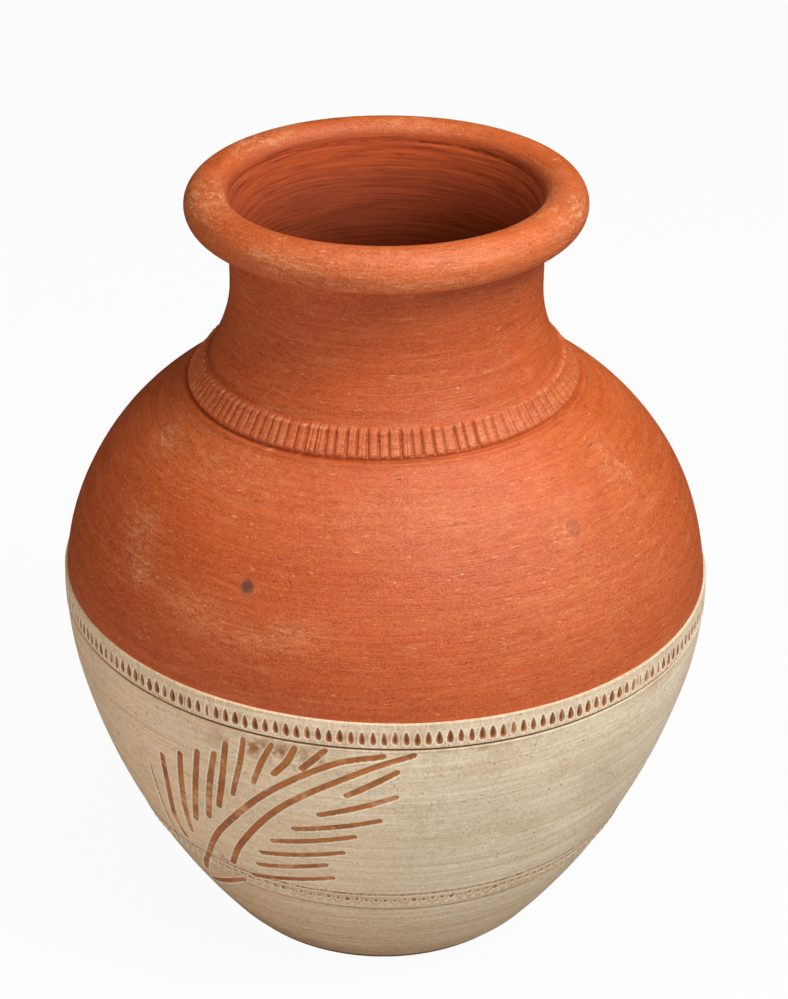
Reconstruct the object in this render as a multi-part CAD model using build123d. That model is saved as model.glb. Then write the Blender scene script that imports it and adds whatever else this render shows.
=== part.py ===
from build123d import *
import math
import os

# Clay water pot in red terracotta: a beaten base, a body in three courses, a short neck and a rolled rim.
# Pressed clay bands cover the seams, and a cream slip coats the lower half.
# Millimetres, +Z up. The origin is the middle of the base, at the level that the pot stands on.

# Body outline
base_radius = 77.0
waist_radius = 149.5
waist_height = 171.0
belly_arc_radius = 152.0
belly_turn_drop = 37.0
shoulder_arc_radius = 115.0

# Neck and rim
throat_radius = 70.0
throat_rise = 149.0
throat_length = 8.0
rim_coil_radius = 10.0
rim_overhang = 9.0
rim_rise = 29.0
rim_outer_joint_angle = 230.0
rim_inner_joint_angle = 168.0

# Walls and the bevelled seams between the luted sections
wall_thickness = 7.5
floor_thickness = 11.0
upper_seam_angle = 40.0
lower_seam_angle = 30.0
seat_clearance = 0.1

# Collar band: pressed ridges over the neck seam
collar_drop = 44.5
collar_rise = 10.0
collar_thickness = 1.4
collar_ridge_pitch = 4.85
collar_wheel_teeth = 5
collar_groove_width = 1.7
collar_groove_depth = 0.8

# Waist band: teardrop marks over the waist seam
waist_band_drop = 3.0
waist_band_rise = 12.5
waist_band_thickness = 1.3
drop_pitch = 4.7
drop_wheel_teeth = 8
drop_radius = 1.3
drop_length = 6.2
drop_depth = 0.8
drop_centre_share = 0.28

# Lower band: faint rolled dots over the foot seam
lower_band_low_height = 60.0
lower_band_rise = 12.0
lower_band_thickness = 0.9
dot_pitch = 4.3
dot_wheel_teeth = 8
dot_radius = 1.2
dot_depth = 0.4

# Cream slip, parted from the bands by an incised line
slip_thickness = 0.6
incised_line_width = 0.9
slip_foot_height = 3.0

# Palm frond scraped through the slip, on a flat layout square to the wall at the frond's middle
frond_size = 130.0
frond_drop = 53.0
frond_turn = -25.0
frond_stroke_width = 2.6
frond_reach = 32.0

# Each stem is an arc: start, middle and end, across and up from the frond's middle
frond_stem_shares = [
    ((0.46, 0.31), (0.07, 0.14), (-0.26, -0.36)),
    ((0.55, 0.29), (0.14, 0.10), (-0.14, -0.33)),
]

# Each leaflet is a straight stroke, from its tip to its foot by the stem
frond_leaflet_shares = [
    ((-0.35, 0.12), (-0.37, -0.33)),
    ((-0.27, 0.17), (-0.32, -0.26)),
    ((-0.18, 0.23), (-0.25, -0.16)),
    ((-0.11, 0.26), (-0.18, -0.08)),
    ((-0.06, 0.31), (-0.13, 0.00)),
    ((0.01, 0.34), (-0.06, 0.09)),
    ((0.10, 0.34), (0.03, 0.19)),
    ((0.19, 0.34), (0.11, 0.23)),
    ((0.28, 0.34), (0.21, 0.27)),
    ((0.50, 0.24), (0.35, 0.16)),
    ((0.50, 0.14), (0.25, 0.06)),
    ((0.43, 0.03), (0.15, -0.02)),
    ((0.35, -0.05), (0.06, -0.11)),
    ((0.29, -0.14), (0.00, -0.20)),
    ((0.23, -0.22), (-0.03, -0.28)),
    ((0.24, -0.28), (-0.07, -0.37)),
]

# How far a cutting shape runs past what it cuts
overrun = 20.0

# The outline is a chain of tangent arcs, each a centre and a radius in the plane of radius and height.
# The belly and shoulder arcs share an upright tangent at the waist.
belly_turn_height = waist_height - belly_turn_drop
throat_height = waist_height + throat_rise
throat_top = throat_height + throat_length
belly_centre = (waist_radius - belly_arc_radius, waist_height)
shoulder_centre = (waist_radius - shoulder_arc_radius, waist_height)
turn_angle = -math.asin(belly_turn_drop / belly_arc_radius)
turn_radius = belly_centre[0] + belly_arc_radius * math.cos(turn_angle)

# The foot arc leaves the belly arc on its tangent and ends at the edge of the base.
chord_lean = math.atan2(turn_radius - base_radius, belly_turn_height)
chord_length = math.hypot(turn_radius - base_radius, belly_turn_height)
foot_arc_radius = chord_length / (2 * math.sin(chord_lean + turn_angle))
foot_centre = (
    turn_radius - foot_arc_radius * math.cos(turn_angle),
    belly_turn_height - foot_arc_radius * math.sin(turn_angle),
)

# The hollow arc at the foot of the neck touches the shoulder arc and the straight throat.
throat_reach = throat_radius - shoulder_centre[0]
neck_arc_radius = (throat_reach**2 + throat_rise**2 - shoulder_arc_radius**2) / (
    2 * (shoulder_arc_radius - throat_reach)
)
neck_centre = (throat_radius + neck_arc_radius, throat_height)
shoulder_angle = math.atan2(throat_rise, neck_centre[0] - shoulder_centre[0])
shoulder_top_height = waist_height + shoulder_arc_radius * math.sin(shoulder_angle)

# Places that several pieces share
rim_ring_radius = throat_radius + rim_overhang
rim_height = throat_top + rim_rise
collar_low_height = throat_height - collar_drop
collar_high_height = collar_low_height + collar_rise
collar_middle_height = (collar_low_height + collar_high_height) / 2
waist_band_low_height = waist_height - waist_band_drop
waist_band_high_height = waist_band_low_height + waist_band_rise
waist_band_middle_height = (waist_band_low_height + waist_band_high_height) / 2
lower_band_high_height = lower_band_low_height + lower_band_rise
lower_band_middle_height = (lower_band_low_height + lower_band_high_height) / 2


def arc_point(centre, radius, angle):
    """Point of an arc at an angle, where a negative radius stands for a hollow arc."""
    return (centre[0] + radius * math.cos(angle), centre[1] + radius * math.sin(angle))


def profile_arc(centre, radius, start, end):
    """Arc of the outline from one angle to another."""
    middle = (start + end) / 2
    return ThreePointArc(
        arc_point(centre, radius, start),
        arc_point(centre, radius, middle),
        arc_point(centre, radius, end),
    )


def foot_angle(height, offset):
    """Angle on the foot arc, moved out by an offset, at a height."""
    return math.asin((height - foot_centre[1]) / (foot_arc_radius + offset))


def body_lines(offset, low):
    """Lines of the outer face moved out by an offset, from a low height up to the top of the throat."""
    straight_radius = throat_radius + offset
    return [
        profile_arc(foot_centre, foot_arc_radius + offset, foot_angle(low, offset), turn_angle),
        profile_arc(belly_centre, belly_arc_radius + offset, turn_angle, 0),
        profile_arc(shoulder_centre, shoulder_arc_radius + offset, 0, shoulder_angle),
        profile_arc(neck_centre, offset - neck_arc_radius, shoulder_angle, 0),
        Line((straight_radius, throat_height), (straight_radius, throat_top)),
    ]


def body_face(offset):
    """Half section of the filled body out to the outer face moved out by an offset."""
    lines = body_lines(offset, 0)
    return make_face(lines + [Polyline(lines[-1] @ 1, (0, throat_top), (0, 0), lines[0] @ 0)])


def wall_point(height):
    """Radius of the outer face at a height on the body, and how far it leans back, in degrees."""
    if height < belly_turn_height:
        centre, radius = foot_centre, foot_arc_radius
    elif height < waist_height:
        centre, radius = belly_centre, belly_arc_radius
    elif height < shoulder_top_height:
        centre, radius = shoulder_centre, shoulder_arc_radius
    else:
        centre, radius = neck_centre, -neck_arc_radius
    angle = math.asin((height - centre[1]) / radius)
    return arc_point(centre, radius, angle)[0], math.degrees(angle)


def spin(face):
    """Solid of revolution of a half section about the pot's axis."""
    return revolve(Plane.XZ * face, Axis.Z)


def rim_point(angle):
    """Point on the rim coil's round section, at an angle in degrees."""
    return arc_point((rim_ring_radius, rim_height), rim_coil_radius, math.radians(angle))


def flare_arc(foot, tip):
    """Arc that leaves the top of the throat straight up and leans out to a tip under the rim."""
    return TangentArc(foot, tip, tangent=(0, 1))


def wall_face():
    """Half section of the whole bare wall, from the base to the bevelled top of the neck."""
    outer = body_lines(0, 0)
    inner = body_lines(-wall_thickness, floor_thickness)
    outer_tip = rim_point(rim_outer_joint_angle)
    inner_tip = rim_point(rim_inner_joint_angle)
    closing = [
        flare_arc(outer[-1] @ 1, outer_tip),
        Line(outer_tip, inner_tip),
        flare_arc(inner[-1] @ 1, inner_tip),
        Polyline(inner[0] @ 0, (0, floor_thickness), (0, 0), outer[0] @ 0),
    ]
    return make_face(outer + inner + closing)


def under_seam(height, angle):
    """Region under a seam through the outer face at a height, which falls inward at an angle in degrees."""
    radius = wall_point(height)[0]
    far = waist_radius + overrun
    slope = math.tan(math.radians(angle))
    at_axis = height - radius * slope
    at_far = height + (far - radius) * slope
    below = min(at_axis, 0) - overrun
    return Polygon((0, below), (far, below), (far, at_far), (0, at_axis), align=None)


def base_region():
    """Region of the base slab: under the floor inside, with a bevel that falls outward at its edge."""
    inner_radius = (body_lines(-wall_thickness, floor_thickness)[0] @ 0).X
    bevel_reach = (floor_thickness + overrun) / math.tan(math.radians(lower_seam_angle))
    return Polygon(
        (0, -overrun),
        (inner_radius + bevel_reach, -overrun),
        (inner_radius, floor_thickness),
        (0, floor_thickness),
        align=None,
    )


def make_wall_sections():
    """Base slab and the courses of the wall, parted by bevelled seams under the bands."""
    wall = wall_face()
    base = base_region()
    under_foot = under_seam(lower_band_middle_height, -lower_seam_angle)
    under_waist = under_seam(waist_band_middle_height, upper_seam_angle)
    under_neck = under_seam(collar_middle_height, upper_seam_angle)
    return {
        "base_disc": spin(wall & base),
        "foot_wall": spin((wall & under_foot) - base),
        "belly_wall": spin((wall & under_waist) - under_foot),
        "shoulder_wall": spin((wall & under_neck) - under_waist),
        "neck_wall": spin(wall - under_neck),
    }


def make_rim_coil():
    """Rolled coil, flattened where it is luted to the bevelled top of the neck."""
    outer_tip = rim_point(rim_outer_joint_angle)
    inner_tip = rim_point(rim_inner_joint_angle)
    far_side = rim_point((rim_outer_joint_angle + rim_inner_joint_angle) / 2 - 180)
    return spin(make_face([ThreePointArc(outer_tip, far_side, inner_tip), Line(inner_tip, outer_tip)]))


def strip_face(thickness, low, high):
    """Half section of a layer of even thickness laid on the outer face, between two heights."""
    zone = Polygon(
        (0, low),
        (waist_radius + overrun, low),
        (waist_radius + overrun, high),
        (0, high),
        align=None,
    )
    return (body_face(seat_clearance + thickness) - body_face(seat_clearance)) & zone


def face_plane(height, thickness):
    """Plane on the outside of a layer at a height: X runs round the pot, Y up the wall, Z outward."""
    radius, lean = wall_point(height)
    out = Vector(math.cos(math.radians(lean)), 0, math.sin(math.radians(lean)))
    origin = Vector(radius, 0, height) + out * (seat_clearance + thickness)
    return Plane(origin, x_dir=(0, 1, 0), z_dir=out)


def rolled_ring(strip, mark, height, pitch, teeth):
    """Strip printed by a toothed wheel: one turn of the wheel is a run of marks, repeated round the pot."""
    runs = round(2 * math.pi * wall_point(height)[0] / (pitch * teeth))
    run_angle = 360 / runs
    marks = [Rot(0, 0, run_angle * (tooth + 0.5) / teeth) * mark for tooth in range(teeth)]
    run = revolve(Plane.XZ * strip, Axis.Z, run_angle) - marks
    return run.fuse(*[Rot(0, 0, run_angle * index) * run for index in range(1, runs)])


def make_collar_band():
    """Clay strip with ridges, left by a groove pressed across it at each pitch."""
    strip = strip_face(collar_thickness, collar_low_height, collar_high_height)
    groove = face_plane(collar_middle_height, collar_thickness) * Box(
        collar_groove_width, collar_rise + overrun, 2 * collar_groove_depth
    )
    return rolled_ring(strip, groove, collar_middle_height, collar_ridge_pitch, collar_wheel_teeth)


def make_waist_band():
    """Clay strip with a row of teardrop marks, each pointed above and round below."""
    drop_height = waist_band_low_height + drop_centre_share * waist_band_rise
    strip = strip_face(waist_band_thickness, waist_band_low_height, waist_band_high_height)
    tail = Polygon((-drop_radius, 0), (drop_radius, 0), (0, drop_length - drop_radius), align=None)
    outline = face_plane(drop_height, waist_band_thickness) * (Circle(drop_radius) + tail)
    drop = extrude(outline, drop_depth, both=True)
    return rolled_ring(strip, drop, drop_height, drop_pitch, drop_wheel_teeth)


def make_lower_band():
    """Thin clay strip with a row of shallow round dots."""
    strip = strip_face(lower_band_thickness, lower_band_low_height, lower_band_high_height)
    ball_radius = (dot_radius**2 + dot_depth**2) / (2 * dot_depth)
    ball = Pos(0, 0, ball_radius - dot_depth) * Sphere(ball_radius)
    dot = face_plane(lower_band_middle_height, lower_band_thickness) * ball
    return rolled_ring(strip, dot, lower_band_middle_height, dot_pitch, dot_wheel_teeth)


def frond_place(shares):
    """Point of the frond's flat layout from its shares across and up."""
    return (shares[0] * frond_size, shares[1] * frond_size)


def make_frond():
    """Scraped strokes of the frond, run in through the slip square to its flat layout."""
    strokes = []
    for stem in frond_stem_shares:
        path = ThreePointArc(*[frond_place(shares) for shares in stem])
        strokes.append(SlotArc(path, frond_stroke_width))
    for leaflet in frond_leaflet_shares:
        tip, foot = [Vector(*frond_place(shares)) for shares in leaflet]
        run = tip - foot
        slot = SlotCenterToCenter(run.length, frond_stroke_width)
        strokes.append(Pos((tip + foot) / 2) * Rot(0, 0, math.degrees(math.atan2(run.Y, run.X))) * slot)
    side = face_plane(waist_height - frond_drop, slip_thickness)
    to_front = Rot(0, 0, frond_turn - 90)
    return [to_front * extrude(side * stroke, frond_reach, both=True) for stroke in strokes]


def make_slip_coats():
    """Cream slip on the belly, with the frond scraped out of it, and on the foot."""
    belly = spin(
        strip_face(
            slip_thickness,
            lower_band_high_height + incised_line_width,
            waist_band_low_height - incised_line_width,
        )
    )
    foot = spin(strip_face(slip_thickness, slip_foot_height, lower_band_low_height - incised_line_width))
    return {"slip_coat_belly": belly - make_frond(), "slip_coat_foot": foot}


def make_pot():
    """All pieces of the pot, each with the name of its node."""
    pieces = make_wall_sections()
    pieces["rim_coil"] = make_rim_coil()
    pieces["collar_band"] = make_collar_band()
    pieces["waist_band"] = make_waist_band()
    pieces["lower_band"] = make_lower_band()
    pieces.update(make_slip_coats())
    return pieces


os.makedirs("parts", exist_ok=True)
for node, shape in make_pot().items():
    export_step(shape, f"parts/{node}.step")
    print(f"{node}: {len(shape.solids())} solid of {shape.volume:.0f} cubic mm")
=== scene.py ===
"""Dress the clay water pot as it was photographed.

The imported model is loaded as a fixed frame. Each piece is then drawn again as a surface that numpy works
out on a grid of section points and turns, with the marks of wheel, roller, stick and hand in the surface
itself, and finished with procedural clay, red wash and cream slip. Lengths are in millimetres up to the
point where a mesh is made; turns run from the front towards the right.
"""
import logging
import math
from dataclasses import dataclass
from enum import Enum

import bpy
import numpy as np
from mathutils import Matrix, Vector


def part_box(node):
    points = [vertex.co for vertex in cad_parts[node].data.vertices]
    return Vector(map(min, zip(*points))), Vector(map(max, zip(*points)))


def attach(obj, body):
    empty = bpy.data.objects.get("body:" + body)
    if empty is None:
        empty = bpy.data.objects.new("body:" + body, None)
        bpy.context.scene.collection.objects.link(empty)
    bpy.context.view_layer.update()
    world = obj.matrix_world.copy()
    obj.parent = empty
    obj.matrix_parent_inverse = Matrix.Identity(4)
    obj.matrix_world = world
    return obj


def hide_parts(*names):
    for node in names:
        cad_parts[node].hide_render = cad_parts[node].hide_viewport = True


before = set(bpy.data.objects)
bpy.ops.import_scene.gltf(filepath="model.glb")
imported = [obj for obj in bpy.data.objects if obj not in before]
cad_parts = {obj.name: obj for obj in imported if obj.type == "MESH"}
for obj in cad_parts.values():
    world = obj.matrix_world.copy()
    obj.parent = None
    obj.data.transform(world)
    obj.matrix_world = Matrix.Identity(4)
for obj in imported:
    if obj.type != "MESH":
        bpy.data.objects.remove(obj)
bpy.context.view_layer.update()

MM = 0.001
BODY = "root"
WHITE = (1.0, 1.0, 1.0, 1.0)
FAR_OUT = -40.0
HEAVY_SIDE = math.radians(15.0)
CLAY_SHEEN = 0.55
LOG = logging.getLogger("water_pot")

Array = np.ndarray
Socket = bpy.types.NodeSocket
Tone = tuple[float, float, float, float]


class Node(Enum):
    """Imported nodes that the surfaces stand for."""

    BASE_DISC = "base_disc"
    FOOT_WALL = "foot_wall"
    BELLY_WALL = "belly_wall"
    SHOULDER_WALL = "shoulder_wall"
    NECK_WALL = "neck_wall"
    RIM_COIL = "rim_coil"
    COLLAR_BAND = "collar_band"
    WAIST_BAND = "waist_band"
    LOWER_BAND = "lower_band"
    SLIP_COAT_BELLY = "slip_coat_belly"
    SLIP_COAT_FOOT = "slip_coat_foot"


class Slot(Enum):
    """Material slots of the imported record."""

    RED_WASH = "red_wash"
    BARE_CLAY = "bare_clay"
    CREAM_SLIP = "cream_slip"


class Trait(Enum):
    """Values that a surface carries at its points for its finish to read."""

    INSIDE = "inside"
    BARE = "bare"
    WEAR_AND_SHEEN = "wear"
    STAIN = "stain"
    # Painted shade that the finishes lay in hollows, grooves and gaps.
    PAINTED_SHADE = "dirt"


PLAIN = {Trait.INSIDE: 0.0, Trait.BARE: FAR_OUT, Trait.WEAR_AND_SHEEN: 0.0, Trait.STAIN: FAR_OUT, Trait.PAINTED_SHADE: 0.0}


def tone(red: int, green: int, blue: int) -> Tone:
    """Turn a colour as seen on a screen into the linear colour that a shader takes.

    Args:
        red: red share, 0 to 255.
        green: green share, 0 to 255.
        blue: blue share, 0 to 255.

    Returns:
        Linear red, green, blue and a full alpha.
    """
    seen = np.array((red, green, blue)) / 255.0
    linear = np.where(seen <= 0.04045, seen / 12.92, ((seen + 0.055) / 1.055) ** 2.4)
    return (*linear.tolist(), 1.0)


def smooth_step(value: Array) -> Array:
    """Rise smoothly from 0 to 1 as the value does, and stay flat beyond."""
    share = np.clip(value, 0.0, 1.0)
    return share * share * (3.0 - 2.0 * share)


def bell(value: Array, centre: float, width: float) -> Array:
    """Bell curve of height 1 about a centre."""
    return np.exp(-(((value - centre) / width) ** 2))


def left_heavy(turn: Array, middle: float, swing: float) -> Array:
    """Value at each turn that swings about a middle, greatest on the left and least on the right."""
    return middle - swing * np.sin(turn - HEAVY_SIDE)


def round_turns(columns: int) -> Array:
    """Even turns once round the axis."""
    return np.linspace(-math.pi, math.pi, columns, endpoint=False)


def smooth_path(points: Array, steps: int) -> Array:
    """Draw a smooth curve through a few points.

    Between two points the curve is a cubic whose slope at each of them is half the step between its
    neighbours; the end points stand in for the neighbours that are missing.

    Args:
        points: places on a plane, one row each.
        steps: how many pieces lie between two points.

    Returns:
        Places along the curve, one row each.
    """
    padded = np.vstack((points[:1], points, points[-1:]))
    slope = 0.5 * (padded[2:] - padded[:-2])
    share = np.linspace(0.0, 1.0, steps, endpoint=False)[None, :, None]
    start, end = points[:-1, None], points[1:, None]
    rise = share * share * (3.0 - 2.0 * share)
    curve = start + (end - start) * rise
    curve = curve + slope[:-1, None] * share * (1.0 - share) ** 2
    curve = curve - slope[1:, None] * share * share * (1.0 - share)
    return np.vstack((curve.reshape(-1, 2), points[-1:]))


@dataclass(frozen=True)
class SectionLine:
    """Stretch of a section, with its outward normals.

    Attributes:
        radius: distance from the axis.
        height: height over the floor.
        out: radial share of the outward normal.
        up: upward share of the outward normal.
        inside: 1 where the face looks into the pot.
    """

    radius: Array
    height: Array
    out: Array
    up: Array
    inside: Array

    @staticmethod
    def join(*lines: "SectionLine") -> "SectionLine":
        """String stretches together in the order given."""
        names = ("radius", "height", "out", "up", "inside")
        return SectionLine(*(np.concatenate([getattr(line, name) for line in lines]) for name in names))

    def moved(self, lift: float) -> "SectionLine":
        """The same stretch, a distance out along its normals."""
        radius = self.radius + lift * self.out
        return SectionLine(radius, self.height + lift * self.up, self.out, self.up, self.inside)

    def run_back(self) -> "SectionLine":
        """The same stretch, run the other way."""
        lines = (self.radius, self.height, self.out, self.up, self.inside)
        return SectionLine(*(line[::-1] for line in lines))

    def turned_in(self) -> "SectionLine":
        """The same stretch seen from the other side and run the other way, as an inner face."""
        back = self.run_back()
        return SectionLine(back.radius, back.height, -back.out, -back.up, np.ones_like(back.radius))


@dataclass(frozen=True)
class Outline:
    """Outer face of the bare wall: tangent arcs from the base to the rim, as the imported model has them.

    Attributes:
        base_radius: radius of the flat base.
        waist_radius: greatest radius of the wall.
        waist_height: height of the greatest radius.
        belly_arc_radius: radius of the arc below the waist.
        belly_turn_drop: how far below the waist that arc gives way to the foot's arc.
        shoulder_arc_radius: radius of the arc above the waist.
        throat_radius: outer radius of the upright throat.
        throat_rise: height of the throat's lower end over the waist.
        throat_length: length of the upright throat.
        rim_coil_radius: radius of the rim coil's round section.
        rim_overhang: how far the coil's middle lies outside the throat's outer face.
        rim_rise: height of the coil's middle over the throat.
        rim_outer_joint: angle on the coil where the neck's outer face meets it.
        rim_inner_joint: angle on the coil where the neck's inner face meets it.
        wall_thickness: thickness of the wall.
        floor_thickness: thickness of the floor.
        base_edge_round: radius of the rounding at the base's edge.
        trial_points: points of the trial run that measures a stretch of wall.
    """

    base_radius: float = 77.0
    waist_radius: float = 149.5
    waist_height: float = 171.0
    belly_arc_radius: float = 152.0
    belly_turn_drop: float = 37.0
    shoulder_arc_radius: float = 115.0
    throat_radius: float = 70.0
    throat_rise: float = 149.0
    throat_length: float = 8.0
    rim_coil_radius: float = 10.0
    rim_overhang: float = 9.0
    rim_rise: float = 29.0
    rim_outer_joint: float = math.radians(230.0)
    rim_inner_joint: float = math.radians(168.0)
    wall_thickness: float = 7.5
    floor_thickness: float = 11.0
    base_edge_round: float = 2.0
    trial_points: int = 400

    @property
    def throat_height(self) -> float:
        """Height where the hollow of the neck turns upright."""
        return self.waist_height + self.throat_rise

    @property
    def throat_top(self) -> float:
        """Height where the upright throat starts to flare."""
        return self.throat_height + self.throat_length

    @property
    def rim_centre(self) -> tuple[float, float]:
        """Radius and height of the rim coil's middle."""
        return self.throat_radius + self.rim_overhang, self.throat_top + self.rim_rise

    def rim_point(self, angle: float) -> tuple[float, float]:
        """Radius and height of a point on the rim coil's circle."""
        ring, height = self.rim_centre
        return ring + self.rim_coil_radius * math.cos(angle), height + self.rim_coil_radius * math.sin(angle)

    def arcs(self) -> tuple[tuple[float, float, float, float], ...]:
        """List the arcs of the wall from the base up.

        Returns:
            For each arc its centre radius, centre height, radius (below zero where the wall is hollow) and
            top height.
        """
        belly_centre = self.waist_radius - self.belly_arc_radius
        turn_angle = -math.asin(self.belly_turn_drop / self.belly_arc_radius)
        turn_radius = belly_centre + self.belly_arc_radius * math.cos(turn_angle)
        turn_height = self.waist_height - self.belly_turn_drop
        chord = math.hypot(turn_radius - self.base_radius, turn_height)
        chord_lean = math.atan2(turn_radius - self.base_radius, turn_height)
        foot = chord / (2.0 * math.sin(chord_lean + turn_angle))
        foot_centre = turn_radius - foot * math.cos(turn_angle)
        shoulder = self.shoulder_arc_radius
        shoulder_centre = self.waist_radius - shoulder
        reach = self.throat_radius - shoulder_centre
        neck = (reach**2 + self.throat_rise**2 - shoulder**2) / (2.0 * (shoulder - reach))
        neck_centre = self.throat_radius + neck
        shoulder_angle = math.atan2(self.throat_rise, neck_centre - shoulder_centre)
        shoulder_top = self.waist_height + shoulder * math.sin(shoulder_angle)
        return (
            (foot_centre, turn_height - foot * math.sin(turn_angle), foot, turn_height),
            (belly_centre, self.waist_height, self.belly_arc_radius, self.waist_height),
            (shoulder_centre, self.waist_height, shoulder, shoulder_top),
            (neck_centre, self.throat_height, -neck, self.throat_height),
        )

    def wall(self, height: Array) -> SectionLine:
        """Place points on the outer face of the bare wall.

        Args:
            height: heights between the base and the top of the throat.

        Returns:
            The points and their normals; the throat stands upright.
        """
        radius = np.full_like(height, self.throat_radius)
        out = np.ones_like(height)
        up = np.zeros_like(height)
        for centre, centre_height, arc, top in reversed(self.arcs()):
            here = height <= top
            rise = np.where(here, height - centre_height, 0.0)
            side = math.copysign(1.0, arc) * np.sqrt(np.maximum(arc**2 - rise**2, 0.0))
            radius = np.where(here, centre + side, radius)
            out = np.where(here, side / arc, out)
            up = np.where(here, rise / arc, up)
        return SectionLine(radius, height, out, up, np.zeros_like(height))

    def outer_line(self, low: float, high: float, step: float, lift: float = 0.0) -> SectionLine:
        """Run up the wall with points an even step apart.

        Args:
            low: height of the first point on the bare wall.
            high: height of the last point on the bare wall.
            step: longest distance between two points.
            lift: distance off the bare wall.

        Returns:
            The stretch of section.
        """
        trial = self.wall(np.linspace(low, high, self.trial_points))
        length = np.concatenate(([0.0], np.cumsum(np.hypot(np.diff(trial.radius), np.diff(trial.height)))))
        count = max(2, math.ceil(length[-1] / step) + 1)
        height = np.interp(np.linspace(0.0, length[-1], count), length, trial.height)
        return self.wall(height).moved(lift)

    def inner_line(self, low: float, high: float, step: float) -> SectionLine:
        """Run down the inner face of the wall, opposite the same stretch of outer face."""
        return self.outer_line(low, high, step, -self.wall_thickness).turned_in()

    def layer_section(
        self, low: float, high: float, steps: tuple[float, float], thickness: float, sunk: float
    ) -> tuple[SectionLine, Array]:
        """Lay out the closed section of a layer of clay or slip on the wall.

        Args:
            low: height of its lower edge.
            high: height of its upper edge.
            steps: longest distance between two points on its face and on its back.
            thickness: how far its face lies off the wall.
            sunk: how far its back lies in the wall.

        Returns:
            The section and, as a column, 1 on the layer's face and 0 on its back.
        """
        front = self.outer_line(low, high, steps[0], thickness)
        back = self.outer_line(low, high, steps[1], -sunk).run_back()
        shown = np.concatenate((np.ones_like(front.radius), np.zeros_like(back.radius)))
        return SectionLine.join(front, back), shown[:, None]

    def flare_line(self, start_radius: float, end: tuple[float, float], step: float) -> SectionLine:
        """Run up a hollow arc that leaves the throat upright and ends on the rim coil.

        Args:
            start_radius: radius at the top of the throat.
            end: radius and height of the end on the rim coil.
            step: longest distance between two points.

        Returns:
            The stretch of section, facing outward.
        """
        reach, rise = end[0] - start_radius, end[1] - self.throat_top
        arc = (reach**2 + rise**2) / (2.0 * reach)
        sweep = math.asin(rise / arc)
        angle = np.linspace(0.0, sweep, math.ceil(arc * sweep / step) + 1)
        radius = start_radius + arc * (1.0 - np.cos(angle))
        height = self.throat_top + arc * np.sin(angle)
        return SectionLine(radius, height, np.cos(angle), -np.sin(angle), np.zeros_like(angle))


@dataclass(frozen=True)
class HandWarp:
    """How a hand-turned pot strays from a true turned shape.

    Attributes:
        heights: heights where the stray from true is known.
        leans: rise of a level line towards the right at those heights, as a slope.
        sways: how far the pot's middle lies to the right of the axis at those heights.
        dent: depth of the soft, wide dents left by the beater and the hand.
        dent_waves: how many dents lie round the pot, and the height over which they drift by one wave.
        ring: depth of the fine rings left by the wheel.
        ring_lengths: distances between those rings.
        seed: start of the dents' and rings' random phases.
    """

    heights: tuple[float, ...] = (0.0, 72.0, 175.0, 230.0, 280.0, 322.0, 367.0)
    leans: tuple[float, ...] = (0.0, -0.015, -0.016, 0.0, 0.012, 0.008, 0.005)
    sways: tuple[float, ...] = (0.0, -0.4, 1.0, 0.9, -0.2, 0.9, 0.7)
    dent: float = 0.2
    dent_waves: tuple[tuple[int, float], ...] = ((2, 190.0), (3, 130.0), (5, 90.0), (7, 70.0), (9, 52.0))
    ring: float = 0.012
    ring_lengths: tuple[float, ...] = (4.3, 6.1, 9.7, 14.9)
    seed: int = 11

    def between(self, height: Array, values: tuple[float, ...]) -> Array:
        """Value at each height, with a smooth change between the heights where it is known.

        Args:
            height: heights.
            values: values at the known heights.

        Returns:
            The values.
        """
        step = np.clip(np.searchsorted(self.heights, height, side="right") - 1, 0, len(self.heights) - 2)
        known, value = np.array(self.heights), np.array(values)
        share = smooth_step((height - known[step]) / (known[step + 1] - known[step]))
        return value[step] + (value[step + 1] - value[step]) * share

    def waver(self, height: Array, turn: Array) -> Array:
        """How far the surface strays out at each point.

        The dents are cosines of a whole number of waves round the axis that drift with height. The rings
        are cosines of height whose phase drifts slowly round the axis.

        Args:
            height: heights, as a column.
            turn: turns, as a row.

        Returns:
            Distances out along the normal.
        """
        full = 2.0 * math.pi
        random = np.random.default_rng(self.seed)
        total = np.zeros(np.broadcast(height, turn).shape)
        for waves, length in self.dent_waves:
            phase, drift = random.uniform(0.0, full, 2)
            total += self.dent / waves * np.cos(waves * turn + phase + full * height / length + drift)
        for length in self.ring_lengths:
            phase, drift = random.uniform(0.0, full, 2)
            swell = 0.6 + 0.4 * np.cos(2.0 * turn + drift)
            wave = np.cos(full * height / length + phase + 0.8 * np.cos(turn + drift))
            total += self.ring * swell * wave
        return total

    def place(self, section: SectionLine, turn: Array, lift: Array) -> Array:
        """Carry a section round the axis and lean its level lines.

        A point at radius r, height z and turn t goes to (r sin t + sway, -r cos t, z + lean r sin t).

        Args:
            section: section points.
            turn: turns.
            lift: distance of each point off the section, section points by turns.

        Returns:
            Places, section points by turns by three.
        """
        radius = section.radius[:, None] + section.out[:, None] * lift
        height = section.height[:, None] + section.up[:, None] * lift
        across = radius * np.sin(turn)
        aside = across + self.between(height, self.sways)
        above = height + self.between(height, self.leans) * across
        return np.stack((aside, -radius * np.cos(turn), above), axis=-1)


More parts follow.
